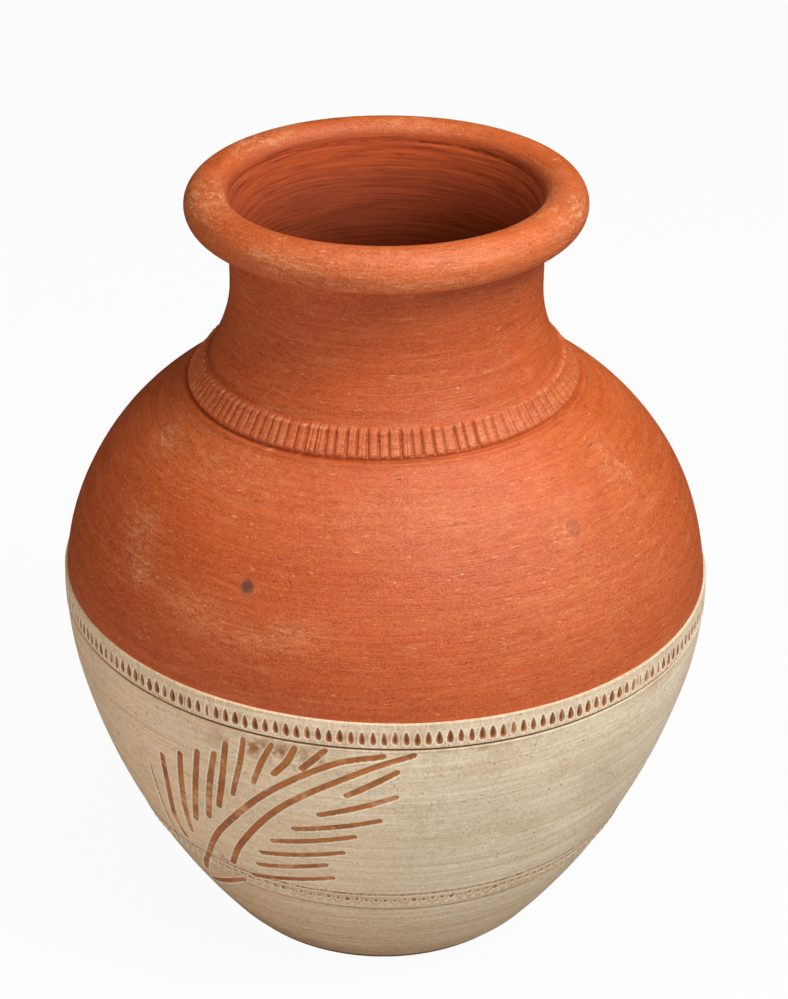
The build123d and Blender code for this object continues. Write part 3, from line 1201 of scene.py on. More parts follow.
@dataclass
class ClayBody(PotPart):
    """Floor, walls, neck and rim coil of the pot.

    Attributes:
        columns: turns of the plain rings.
        shoulder_columns: turns of the shoulder.
        step: distance between section points on faces that show.
        hidden_step: distance between section points on faces that don't.
        fine_step: distance between section points beside the collar.
        fine_reach: height beside the collar that has the fine step.
        floor_seam: height of the wall's outer face opposite the seam with the floor.
        beneath_points: section points beneath the floor slab.
        edge_points: section points on the rounding of its edge.
        floor_points: section points on its upper face.
        rim_points: section points on the rim coil.
        joint_points: section points on the coil's joint with the neck.
        cut_pitch: distance between the arcs that the cutting wire left beneath.
        cut_depth: depth of those arcs.
        cut_margin: how far inside the edge the arcs reach their depth.
        wire_end: middle of the arcs, to the right and to the front, as shares of the base's radius.
        line_depth: depth of the line cut under the collar.
        line_width: half width of that line.
        lip: height of the lip pushed up below the line.
        valley: depth of the soft valley over the collar.
        crease: depth of the broken crease where rim coil and neck meet inside.
        painted_shade_share: how dark the painted shade in the hollows beside the collar is.
        gap_shade_from: height above which a bare line takes painted shade.
        gap_shade_reach: how far below its upper seam a wall takes painted shade.
        spots: dark spots on the shoulder.
        shoulder_wear: worn places of the shoulder.
        rim_wear_and_sheen: worn places of the rim, and a broad painted sheen across its front.
    """

    columns: int = 480
    shoulder_columns: int = 640
    step: float = 1.5
    hidden_step: float = 4.0
    fine_step: float = 0.45
    fine_reach: float = 7.0
    floor_seam: float = 6.35
    beneath_points: int = 46
    edge_points: int = 6
    floor_points: int = 24
    rim_points: int = 60
    joint_points: int = 8
    cut_pitch: float = 5.5
    cut_depth: float = 0.25
    cut_margin: float = 12.0
    wire_end: tuple[float, float] = (1.4, 0.5)
    line_depth: float = 1.35
    line_width: float = 0.5
    lip: float = 0.8
    valley: float = 0.7
    crease: float = 0.6
    painted_shade_share: float = 0.65
    gap_shade_from: float = 100.0
    gap_shade_reach: float = 9.5
    spots: tuple[Spot, ...] = (
        Spot(-25.7, 229.9, 2.9, 3.0),
        Spot(41.0, 244.0, 3.4, -0.35),
    )
    shoulder_wear: tuple[Patch, ...] = (
        Patch(-49.5, 219.0, 6.0, 5.0, 1.2),
        Patch(-54.0, 233.0, 13.0, 10.0, 0.7),
        Patch(-66.0, 262.0, 10.0, 6.0, 0.8),
        Patch(-42.0, 264.0, 30.0, 9.0, 0.5),
        Patch(-36.0, 217.0, 16.0, 7.0, 0.6),
        Patch(-22.0, 210.0, 24.0, 5.0, 0.7),
        Patch(-15.0, 217.0, 10.0, 5.0, 0.8),
        Patch(39.0, 244.0, 10.0, 6.0, 0.6),
        Patch(62.0, 252.0, 14.0, 12.0, 0.7),
        Patch(8.0, 258.0, 50.0, 10.0, 0.35),
        Patch(40.0, 220.0, 60.0, 20.0, 0.3),
        Patch(150.0, 236.0, 30.0, 14.0, 0.5),
    )
    rim_wear_and_sheen: tuple[Patch, ...] = (
        Patch(-75.0, 365.0, 22.0, 5.0, 1.1),
        Patch(-130.0, 366.0, 20.0, 4.0, 0.9),
        Patch(70.0, 362.0, 26.0, 6.0, 1.1),
        Patch(4.0, 352.0, 40.0, 3.0, 1.0),
        Patch(-30.0, 360.0, 18.0, 4.0, 0.9),
        # A broad painted sheen across the rim's front.
        Patch(10.0, 360.0, 70.0, 10.0, 0.4),
        Patch(170.0, 364.0, 30.0, 4.0, 0.6),
    )

    def build(self) -> None:
        """Build the pieces from the floor up."""
        foot_seam = sum(node_heights(Node.LOWER_BAND)) / 2.0
        waist_seam = sum(node_heights(Node.WAIST_BAND)) / 2.0
        neck_seam = sum(node_heights(Node.COLLAR_BAND)) / 2.0
        self.build_base()
        self.build_plain_wall(Node.FOOT_WALL, self.floor_seam, foot_seam)
        self.build_plain_wall(Node.BELLY_WALL, foot_seam, waist_seam)
        self.build_shoulder(waist_seam, neck_seam)
        self.build_neck(neck_seam)
        self.build_rim()

    def dirt(self, turn: Array) -> Array:
        """How much painted shade lies in the hollows beside the collar: most on the left, least on the right.
        """
        return self.painted_shade_share * left_heavy(turn, middle=0.6, swing=0.4)

    def base_section(self) -> SectionLine:
        """Lay out the floor slab's section: out beneath, round the edge, up the bevel, in across the floor.

        Returns:
            The section, without its two ends on the axis.
        """
        line, edge = self.outline, self.outline.base_edge_round
        foot_up = line.wall(np.zeros(1)).up[0]
        middle = line.wall(np.array((edge * (1.0 + foot_up),))).moved(-edge)
        bend = np.linspace(-0.5 * math.pi, math.asin(foot_up), self.edge_points)
        out, up = np.cos(bend), np.sin(bend)
        rounding = SectionLine(middle.radius + edge * out, edge + edge * up, out, up, np.zeros_like(bend))
        beneath = np.linspace(0.0, middle.radius[0], self.beneath_points)[1:-1]
        none = np.zeros_like(beneath)
        bottom = SectionLine(beneath, none, none, none - 1.0, none)
        side = line.outer_line(edge, self.floor_seam, self.step)
        corner = line.wall(np.array((self.floor_seam,))).moved(-line.wall_thickness).radius[0]
        across = np.linspace(corner, 0.0, self.floor_points)[:-1]
        full = np.ones_like(across)
        floor = SectionLine(across, line.floor_thickness * full, np.zeros_like(across), full, full)
        return SectionLine.join(bottom, rounding, side, floor)

    def build_base(self) -> None:
        """Build the floor slab, closed at the axis by one point beneath and one on top.

        Beneath, the surface falls and rises with the distance from a point off the edge, as a wire leaves it.
        """
        line, section, turn = self.outline, self.base_section(), round_turns(self.columns)
        flat = self.warp.place(section, turn, np.zeros((len(section.radius), len(turn))))
        right, front = (share * line.base_radius for share in self.wire_end)
        wire = np.hypot(flat[..., 0] - right, flat[..., 1] + front)
        under = smooth_step((line.base_radius - section.radius[:, None]) / self.cut_margin)
        under = under * (section.up[:, None] < -0.99)
        cut = -self.cut_depth * under * (0.5 + 0.5 * np.cos(2.0 * math.pi * wire / self.cut_pitch))
        places = self.warp.place(section, turn, cut)
        rows, columns = places.shape[:2]
        poles = np.array(((0.0, 0.0, 0.0), (0.0, 0.0, line.floor_thickness)))
        first, here = rows * columns, np.arange(columns)
        beside, top = (here + 1) % columns, first - columns
        faces = ring_faces(rows, columns, closed=False).tolist()
        faces += np.stack((np.full_like(here, first), beside, here), axis=-1).tolist()
        faces += np.stack((top + here, top + beside, np.full_like(here, first + 1)), axis=-1).tolist()
        points = np.vstack((places.reshape(-1, 3), poles))
        traits = {Trait.INSIDE: np.concatenate((np.repeat(section.inside, columns), (0.0, 1.0)))}
        self.piece(Node.BASE_DISC, Slot.BARE_CLAY, points, traits, faces)

    def build_plain_wall(self, node: Node, low: float, high: float) -> None:
        """Build a stretch of wall that slip covers outside.

        Args:
            node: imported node.
            low: height of the lower seam.
            high: height of the upper seam.
        """
        outer = self.outline.outer_line(low, high, self.step)
        section = SectionLine.join(outer, self.outline.inner_line(low, high, self.hidden_step))
        turn = round_turns(self.columns)
        lift = self.warp.waver(section.height[:, None], turn) * (1.0 - section.inside[:, None])
        # The bare line under the belly's upper seam takes painted shade.
        gap_shade = smooth_step((section.height - high + self.gap_shade_reach) / 2.0) * (high > self.gap_shade_from)
        traits = {
            Trait.INSIDE: np.repeat(section.inside, len(turn)),
            Trait.PAINTED_SHADE: np.repeat(gap_shade * (1.0 - section.inside), len(turn)),
        }
        places = self.warp.place(section, turn, lift)
        self.piece(node, Slot.BARE_CLAY, places, traits)

    def build_shoulder(self, low: float, high: float) -> None:
        """Build the shoulder, with a cut line and a pushed-up lip under the collar.

        Args:
            low: height of the waist seam.
            high: height of the neck seam.
        """
        collar_low = collar_heights()[0]
        fine = collar_low - self.fine_reach
        section = SectionLine.join(
            self.outline.outer_line(low, fine, self.step),
            self.outline.outer_line(fine + self.fine_step, high, self.fine_step),
            self.outline.inner_line(low, high, self.hidden_step),
        )
        turn = round_turns(self.shoulder_columns)
        height, radius = section.height[:, None], section.radius[:, None]
        below, outside = collar_low - height, 1.0 - section.inside[:, None]
        lift = self.warp.waver(height, turn)
        lift = lift - self.line_depth * bell(below, centre=0.7, width=self.line_width)
        lift = (lift + self.lip * bell(below, centre=2.3, width=0.8)) * outside
        spots = [spot.depth(radius, height, turn, section.out[:, None]) for spot in self.spots]
        # The cut line under the collar takes painted shade, most on the left.
        traits = {
            Trait.INSIDE: np.repeat(section.inside, len(turn)),
            Trait.STAIN: np.maximum.reduce(spots),
            Trait.WEAR_AND_SHEEN: sum(patch.cover(radius, height, turn) for patch in self.shoulder_wear),
            Trait.PAINTED_SHADE: bell(below, centre=0.6, width=0.5) * self.dirt(turn) * outside,
        }
        places = self.warp.place(section, turn, lift)
        self.piece(Node.SHOULDER_WALL, Slot.RED_WASH, places, traits)

    def build_neck(self, low: float) -> None:
        """Build the neck, from the seam under the collar to the flare that carries the rim coil.

        Args:
            low: height of the neck seam.
        """
        line = self.outline
        inner_radius = line.throat_radius - line.wall_thickness
        inner_flare = line.flare_line(inner_radius, line.rim_point(line.rim_inner_joint), self.fine_step)
        section = SectionLine.join(
            line.outer_line(low, line.throat_top - self.step, self.fine_step * 2.0),
            line.flare_line(line.throat_radius, line.rim_point(line.rim_outer_joint), self.step),
            inner_flare.turned_in(),
            line.inner_line(low, line.throat_top - self.step, self.step),
        )
        turn = round_turns(self.columns)
        height, inside = section.height[:, None], section.inside[:, None]
        collar_high = collar_heights()[1]
        lift = self.warp.waver(height, turn) * smooth_step((line.rim_centre[1] - 12.0 - height) / 10.0)
        lift = lift - self.valley * bell(height - collar_high, centre=1.6, width=2.6) * (1.0 - inside)
        broken = 0.6 + 0.25 * np.cos(31.0 * turn + 3.0 * np.cos(5.0 * turn)) + 0.15 * np.cos(67.0 * turn)
        joint = bell(height, centre=inner_flare.height[-1] - 0.6, width=0.7)
        lift = lift - self.crease * broken * joint * inside
        # Painted shade in the valley over the collar, most on the left.
        shade = 0.6 * bell(height - collar_high, centre=0.0, width=1.8) * self.dirt(turn) * (1.0 - inside)
        traits = {Trait.INSIDE: np.repeat(section.inside, len(turn)), Trait.PAINTED_SHADE: shade}
        places = self.warp.place(section, turn, lift)
        self.piece(Node.NECK_WALL, Slot.RED_WASH, places, traits)

    def build_rim(self) -> None:
        """Build the rolled rim: a circle, flat where it is luted to the neck, carried round the axis."""
        line, size = self.outline, self.outline.rim_coil_radius
        ring, middle = line.rim_centre
        joints = (line.rim_outer_joint, line.rim_inner_joint)
        angle = np.linspace(joints[0] - 2.0 * math.pi, joints[1], self.rim_points)
        out, up = np.cos(angle), np.sin(angle)
        coil = np.stack((ring + size * out, middle + size * up), axis=-1)
        start, end = (np.array(line.rim_point(joint)) for joint in joints)
        share = np.linspace(0.0, 1.0, self.joint_points)[1:-1]
        none, full = np.zeros_like(share), np.ones_like(share)
        radius, height = np.vstack((coil, end + (start - end) * share[:, None])).T
        out, up = np.concatenate((out, -full)), np.concatenate((up, none))
        towards_joint = smooth_step((angle - math.radians(125.0)) / math.radians(40.0))
        section = SectionLine(radius, height, out, up, np.concatenate((towards_joint, full)))
        turn = round_turns(self.columns)
        shown = np.concatenate((np.ones_like(angle), none))[:, None]
        lift = 0.8 * self.warp.waver(section.height[:, None] * 0.5, turn) * shown
        cover = sum(patch.cover(radius[:, None], height[:, None], turn) for patch in self.rim_wear_and_sheen)
        traits = {Trait.INSIDE: np.repeat(section.inside, len(turn)), Trait.WEAR_AND_SHEEN: cover}
        places = self.warp.place(section, turn, lift)
        self.piece(Node.RIM_COIL, Slot.RED_WASH, places, traits)


@dataclass(frozen=True)
class Stroke:
    """One scraped stroke.

    Attributes:
        shares: points along it, across and up, as shares of the frond's size.
        width: its width, as a share of the usual stroke's.
        clear: the most that it is cleared of slip, in millimetres inside its edge.
    """

    shares: tuple[tuple[float, float], ...]
    width: float = 1.0
    clear: float = 0.4


@dataclass(frozen=True)
class Frond:
    """Palm frond scraped through the slip with a blunt stick.

    Its layout is a plane that touches the wall at the frond's middle, so that a point of the wall takes the
    stroke that lies straight over it.

    Attributes:
        size: length that the strokes' shares are of.
        turn: turn of its middle, in degrees.
        height: height of its middle.
        stroke_width: width of a usual stroke.
        strokes: stems first, then the leaflets on the left and on the right.
    """

    size: float = 130.0
    turn: float = -23.9
    height: float = 118.0
    stroke_width: float = 3.4
    strokes: tuple[Stroke, ...] = (
        Stroke(((0.47, 0.33), (0.30, 0.30), (0.07, 0.14), (-0.15, -0.14), (-0.27, -0.39))),
        Stroke(((0.56, 0.32), (0.42, 0.28), (0.22, 0.17), (0.06, 0.02), (-0.08, -0.19), (-0.15, -0.35))),
        Stroke(((-0.27, -0.39), (-0.31, -0.48), (-0.34, -0.57)), 0.85, 0.3),
        Stroke(((-0.13, -0.45), (-0.24, -0.56), (-0.34, -0.66)), 1.0),
        Stroke(((-0.35, 0.13), (-0.36, -0.04), (-0.38, -0.23), (-0.36, -0.35))),
        Stroke(((-0.26, 0.19), (-0.28, 0.05), (-0.30, -0.12), (-0.31, -0.26))),
        Stroke(((-0.18, 0.24), (-0.22, 0.04), (-0.26, -0.15))),
        Stroke(((-0.11, 0.26), (-0.15, 0.10), (-0.19, -0.09))),
        Stroke(((-0.06, 0.32), (-0.09, 0.16), (-0.13, 0.0))),
        Stroke(((0.01, 0.36), (-0.01, 0.26), (-0.06, 0.09)), 0.85, 0.3),
        Stroke(((0.11, 0.36), (0.07, 0.28), (0.03, 0.18)), 0.9, 0.3),
        Stroke(((0.19, 0.36), (0.16, 0.30), (0.11, 0.24))),
        Stroke(((0.29, 0.36), (0.25, 0.32), (0.21, 0.28))),
        Stroke(((-0.43, 0.02), (-0.43, -0.24), (-0.43, -0.50)), 0.45, 0.12),
        Stroke(((0.51, 0.26), (0.35, 0.17))),
        Stroke(((0.50, 0.15), (0.25, 0.07))),
        Stroke(((0.44, 0.04), (0.15, -0.02))),
        Stroke(((0.35, -0.04), (0.06, -0.11))),
        Stroke(((0.30, -0.13), (0.0, -0.20))),
        Stroke(((0.23, -0.21), (-0.03, -0.29))),
        Stroke(((0.24, -0.29), (-0.07, -0.38))),
    )

    def inside(self, outline: Outline, places: Array) -> Array:
        """How far each place lies inside the nearest stroke.

        Args:
            outline: outer face of the wall.
            places: places in millimetres, with the three coordinates last.

        Returns:
            Millimetres inside a stroke's edge, below zero outside.
        """
        touch = outline.wall(np.array((self.height,)))
        turn, out, up = math.radians(self.turn), touch.out[0], touch.up[0]
        facing = np.array((math.sin(turn) * out, -math.cos(turn) * out, up))
        across = np.array((math.cos(turn), math.sin(turn), 0.0))
        upward = np.cross(facing, across)
        middle = np.array((touch.radius[0] * math.sin(turn), -touch.radius[0] * math.cos(turn), self.height))
        flat = np.stack(((places - middle) @ across, (places - middle) @ upward), axis=-1)
        best = np.full(flat.shape[:-1], FAR_OUT)
        for stroke in self.strokes:
            path = smooth_path(np.array(stroke.shares) * self.size, 6)
            share = np.linspace(0.0, 1.0, len(path))
            half = 0.5 * self.stroke_width * stroke.width * (0.88 + 0.12 * np.sin(math.pi * share))
            for start, end, width in zip(path[:-1], path[1:], half):
                reach = end - start
                along = np.clip((flat - start) @ reach / (reach @ reach), 0.0, 1.0)
                gap = np.linalg.norm(flat - start - along[..., None] * reach, axis=-1)
                best = np.maximum(best, np.minimum(width - gap, stroke.clear))
        front = (places @ facing) > 0.0
        return np.where(front, best, FAR_OUT)


@dataclass
class ReliefBand(PotPart):
    """Clay strip laid round the pot, with the marks that a toothed wheel rolled into it.

    Attributes:
        thickness: how far the strip stands off the wall.
        sunk: how far its back lies in the wall.
        steps: distance between section points on its face and on its back.
        edge_round: height over which its edges fall.
        edge_fall: how far they fall, as a share of its thickness.
        pitch: distance between marks.
        per_mark: turns to each mark.
        drift: how many marks the spacing gains on one side of the pot and loses on the other.
        drift_turn: where that gain lies, in degrees.
        seed: start of the random strays of hand work.
    """

    thickness: float = 0.9
    sunk: float = 0.5
    steps: tuple[float, float] = (0.42, 2.5)
    edge_round: float = 0.9
    edge_fall: float = 0.75
    pitch: float = 4.5
    per_mark: int = 10
    drift: float = 0.0
    drift_turn: float = 0.0
    seed: int = 5

    def strip(self, low: float, high: float) -> tuple[SectionLine, Array, Array]:
        """Lay out the strip's section.

        Args:
            low: height of its lower edge.
            high: height of its upper edge.

        Returns:
            The closed section, the share of the band's height at each point and 1 where the strip shows.
        """
        section, shown = self.outline.layer_section(low, high, self.steps, self.thickness, self.sunk)
        face = int(shown.sum())
        share = np.concatenate((np.linspace(0.0, 1.0, face), np.linspace(1.0, 0.0, len(shown) - face)))
        return section, share[:, None], shown

    def edges(self, share: Array, span: float) -> Array:
        """How far the strip falls towards the wall at its edges, which are quarter rounds.

        Args:
            share: share of the band's height.
            span: the band's height.

        Returns:
            Distances off the strip's face, none above zero.
        """
        near = np.clip(np.minimum(share, 1.0 - share) * span / self.edge_round, 0.0, 1.0)
        return -self.edge_fall * self.thickness * (1.0 - np.sqrt(1.0 - (1.0 - near) ** 2))

    def wheel(self, radius: float) -> tuple[Array, Array, Array, int]:
        """Number the marks that the wheel rolls round the pot.

        Args:
            radius: radius of the strip.

        Returns:
            The turns, the number of the mark at each turn, the place across it from -0.5 to 0.5 and how
            many marks there are.
        """
        count = round(2.0 * math.pi * radius / self.pitch)
        turn = round_turns(count * self.per_mark)
        drift = self.drift * np.sin(turn + math.radians(self.drift_turn))
        phase = count * (turn + math.pi) / (2.0 * math.pi) + drift
        number = np.floor(phase).astype(int)
        return turn, number % count, phase - number - 0.5, count


@dataclass
class CollarBand(ReliefBand):
    """Collar over the neck seam: ridges side by side, with a narrow groove between each two.

    Some ridges are split by a second, shallower groove, and the grooves fade towards the right, where the
    wheel was pressed less hard.

    Attributes:
        sink: how far its upper edge sinks into the neck.
        groove_width: half width of a groove.
        groove_widths: least and greatest share of that width.
        groove_depth: depth of a groove.
        groove_depths: least and greatest share of that depth.
        groove_stray: how far a groove strays, as a share of the pitch.
        pressed: how hard the wheel was pressed at the middle, and how much more or less at the sides.
        split_chance: share of the ridges that a second groove splits.
        split_depths: least and greatest depth of that groove, as a share.
        split_stray: how far it strays, as a share of the pitch.
        split_width: its half width.
    """

    thickness: float = 1.1
    sink: float = 0.45
    pitch: float = 4.85
    per_mark: int = 16
    drift: float = 2.0
    drift_turn: float = 70.0
    groove_width: float = 0.55
    groove_widths: tuple[float, float] = (0.75, 1.4)
    groove_depth: float = 1.4
    groove_depths: tuple[float, float] = (0.6, 1.15)
    groove_stray: float = 0.09
    pressed: tuple[float, float] = (0.68, 0.42)
    split_chance: float = 0.4
    split_depths: tuple[float, float] = (0.2, 0.5)
    split_stray: float = 0.09
    split_width: float = 0.35
    seed: int = 5

    def build(self) -> None:
        """Build the collar."""
        random = np.random.default_rng(self.seed)
        section, share, shown = self.strip(*collar_heights())
        turn, number, across, count = self.wheel(section.radius.mean())
        wide = random.uniform(*self.groove_widths, count)[number]
        pressed = left_heavy(turn, *self.pressed)
        deep = random.uniform(*self.groove_depths, count)[number] * pressed
        slant = 0.12 * (share - 0.5) * np.cos(3.0 * turn + 1.0)
        stray = random.uniform(-self.groove_stray, self.groove_stray, count)[number] + slant
        chosen = random.uniform(0.0, 1.0, count) < self.split_chance
        split = np.where(chosen, random.uniform(*self.split_depths, count), 0.0)[number]
        second = random.uniform(-self.split_stray, self.split_stray, count)[number]
        main = bell((across + stray) * self.pitch, centre=0.0, width=self.groove_width * wide)
        thin = bell((np.abs(across) - 0.5 + second) * self.pitch, centre=0.0, width=self.split_width)
        broad = 0.2 * (0.5 + 0.5 * np.cos(2.0 * math.pi * (across + stray)))
        groove = np.clip(deep * (main + broad) + split * pressed * thin, 0.0, 1.3)
        ends = smooth_step((1.0 - share) / 0.2) * smooth_step((share + 0.1) / 0.15)
        crown = 0.3 * bell(share, centre=0.84, width=0.12)
        fall = -(self.thickness + self.sink) * (1.0 - smooth_step((1.0 - share) / 0.24))
        fall = fall - 0.7 * self.thickness * (1.0 - smooth_step(share / 0.07))
        lift = (fall + crown - self.groove_depth * groove * ends) * shown
        lift = lift + self.warp.waver(section.height[:, None], turn)
        # Pale along the crest and on the ribs' lower ends: wear, and a painted highlight.
        rubbed = 0.8 * bell(share, centre=0.84, width=0.06)
        rubbed = rubbed + 0.5 * (1.0 - groove) * bell(share, centre=0.3, width=0.4)
        # Painted shade in the grooves, darkest where they are deepest and on the left.
        dirt = np.clip(1.2 * main * deep, 0.0, 1.0) * ends * shown
        traits = {Trait.WEAR_AND_SHEEN: shown * rubbed, Trait.PAINTED_SHADE: dirt}
        places = self.warp.place(section, turn, lift)
        self.piece(Node.COLLAR_BAND, Slot.RED_WASH, places, traits)


@dataclass
class WaistBand(ReliefBand):
    """Band over the waist seam, with a row of drops and a thin lip along its upper edge.

    Attributes:
        half_width: greatest half width of a drop.
        half_widths: least and greatest share of that width.
        faint_chance: share of the drops that are faint.
        faint_width: width of a faint drop, as a share.
        low_share: where a drop starts, as a share of the band's height.
        high_share: where a drop ends, as a share of the band's height.
        shift: how far up or down a drop strays, as a share of the band's height.
        slant: how far a drop leans, as a share of the pitch.
        depth: depth of a drop.
        burr: height of the burr round a drop.
        lip: height of the lip.
        dust: how much red dust lies about the drops.
    """

    thickness: float = 0.9
    pitch: float = 4.7
    per_mark: int = 9
    half_width: float = 1.4
    half_widths: tuple[float, float] = (0.85, 1.12)
    faint_chance: float = 0.08
    faint_width: float = 0.5
    low_share: float = 0.15
    high_share: float = 0.71
    shift: float = 0.03
    slant: float = 0.05
    depth: float = 0.82
    burr: float = 0.12
    lip: float = 0.3
    dust: float = 0.8
    seed: int = 6

    def drops(self, along: Array, half_width: Array, across: Array) -> Array:
        """How far each point lies inside a drop.

        A drop's half width at the share t of its length goes as the root of t times 1 - t, which is round
        at the foot and straight towards the point.

        Args:
            along: share of the drop's length, from its foot.
            half_width: the drop's greatest half width.
            across: place across the mark, from -0.5 to 0.5.

        Returns:
            Millimetres inside the drop's edge, below zero outside.
        """
        share = np.clip(along, 0.0, 1.0)
        widest = math.sqrt(1.0 / 3.0) * (2.0 / 3.0)
        half = half_width * np.sqrt(share) * (1.0 - share) / widest
        return np.where(half > 0.0, half, -0.6) - np.abs(across) * self.pitch

    def build(self) -> None:
        """Build the waist band."""
        random = np.random.default_rng(self.seed)
        low, high = node_heights(Node.WAIST_BAND)
        section, share, shown = self.strip(low, high)
        turn, number, across, count = self.wheel(section.radius.max())
        faint = np.where(random.uniform(0.0, 1.0, count) < self.faint_chance, self.faint_width, 1.0)
        wide = self.half_width * (faint * random.uniform(*self.half_widths, count))[number]
        shift = random.uniform(-self.shift, self.shift, count)[number]
        along = (share - self.low_share - shift) / (self.high_share - self.low_share)
        inside = self.drops(along, wide, across + self.slant * (share - 0.45))
        inside = np.where(shown > 0.0, inside, -2.0)
        lift = -self.depth * smooth_step((inside + 0.15) / 0.9)
        lift = lift + self.burr * bell(inside, centre=-0.45, width=0.4)
        lift = (lift + self.edges(share, high - low)) * shown
        lift = lift + self.lip * bell(share, centre=0.955, width=0.035) * shown
        lift = lift + self.warp.waver(section.height[:, None], turn)
        places = self.warp.place(section, turn, lift)
        dust = self.dust * shown * bell(share, centre=0.42, width=0.2)
        traits = {Trait.BARE: inside, Trait.WEAR_AND_SHEEN: np.broadcast_to(dust, inside.shape)}
        self.piece(Node.WAIST_BAND, Slot.CREAM_SLIP, places, traits)


@dataclass
class LowerBand(ReliefBand):
    """Band over the foot seam: small dots with blunt peaks between them, crossed by the frond.

    Attributes:
        dot_radius: radius of a dot.
        dot_share: where the dots lie, as a share of the band's height.
        dot_depth: depth of a dot.
        strengths: least and greatest share of a dot's radius and depth.
        shift: how far up or down a dot strays, as a share of the band's height.
        peak: height of the peaks between the dots.
        blunts: least and greatest share of that height.
        darks: least and greatest darkness of a dot.
        hollow_shade: how much painted shade lies between the peaks.
        line_share: where the brown line above the dots lies, as a share of the band's height.
        line_half_width: half width of that line.
        line_clear: how clear that line is at most.
        frond: the scraped frond.
    """

    thickness: float = 0.7
    pitch: float = 4.3
    per_mark: int = 10
    dot_radius: float = 1.2
    dot_share: float = 0.60
    dot_depth: float = 0.55
    strengths: tuple[float, float] = (0.75, 1.15)
    shift: float = 0.05
    peak: float = 0.55
    blunts: tuple[float, float] = (0.6, 1.1)
    darks: tuple[float, float] = (0.4, 1.1)
    hollow_shade: float = 0.7
    line_share: float = 0.965
    line_half_width: float = 0.32
    line_clear: float = 0.12
    frond: Frond = Frond()
    seed: int = 7

    def build(self) -> None:
        """Build the lower band."""
        random = np.random.default_rng(self.seed)
        low, high = node_heights(Node.LOWER_BAND)
        section, share, shown = self.strip(low, high)
        turn, number, across, count = self.wheel(section.radius.mean())
        strength = random.uniform(*self.strengths, count)[number]
        shift = random.uniform(-self.shift, self.shift, count)[number]
        above = (share - self.dot_share - shift) * (high - low)
        dot = self.dot_radius * strength - np.hypot(across * self.pitch, 0.8 * above)
        blunt = random.uniform(*self.blunts, count)[number]
        dark = random.uniform(*self.darks, count)[number]
        between = bell(1.0 - np.abs(across) * 2.0, centre=0.0, width=0.5)
        peaks = self.peak * blunt * between * bell(share, centre=0.38, width=0.18)
        lift = peaks - self.dot_depth * strength * smooth_step((dot + 0.5) / 0.9)
        lift = (lift + self.edges(share, high - low)) * shown
        lift = lift + self.warp.waver(section.height[:, None], turn)
        places = self.warp.place(section, turn, lift)
        beside = 1.0 - np.minimum(peaks / self.peak, 1.0)
        dots = np.minimum(1.4 * (dot - 0.2), 0.3 * dark)
        line = self.line_half_width - np.abs(share - self.line_share) * (high - low)
        line = np.minimum(1.2 * line, self.line_clear)
        # On the peaks the slip takes the pale burr colour, a painted highlight.
        marks = np.maximum(np.maximum(-0.5 - 1.2 * beside, dots), line)
        bare = np.maximum(marks, self.frond.inside(self.outline, places))
        bare = np.where(shown > 0.0, bare, -2.0)
        # Painted shade in the hollows between the peaks.
        dirt = self.hollow_shade * shown * bell(share, centre=0.55, width=0.25) * beside
        traits = {Trait.BARE: bare, Trait.PAINTED_SHADE: dirt}
        self.piece(Node.LOWER_BAND, Slot.CREAM_SLIP, places, traits)


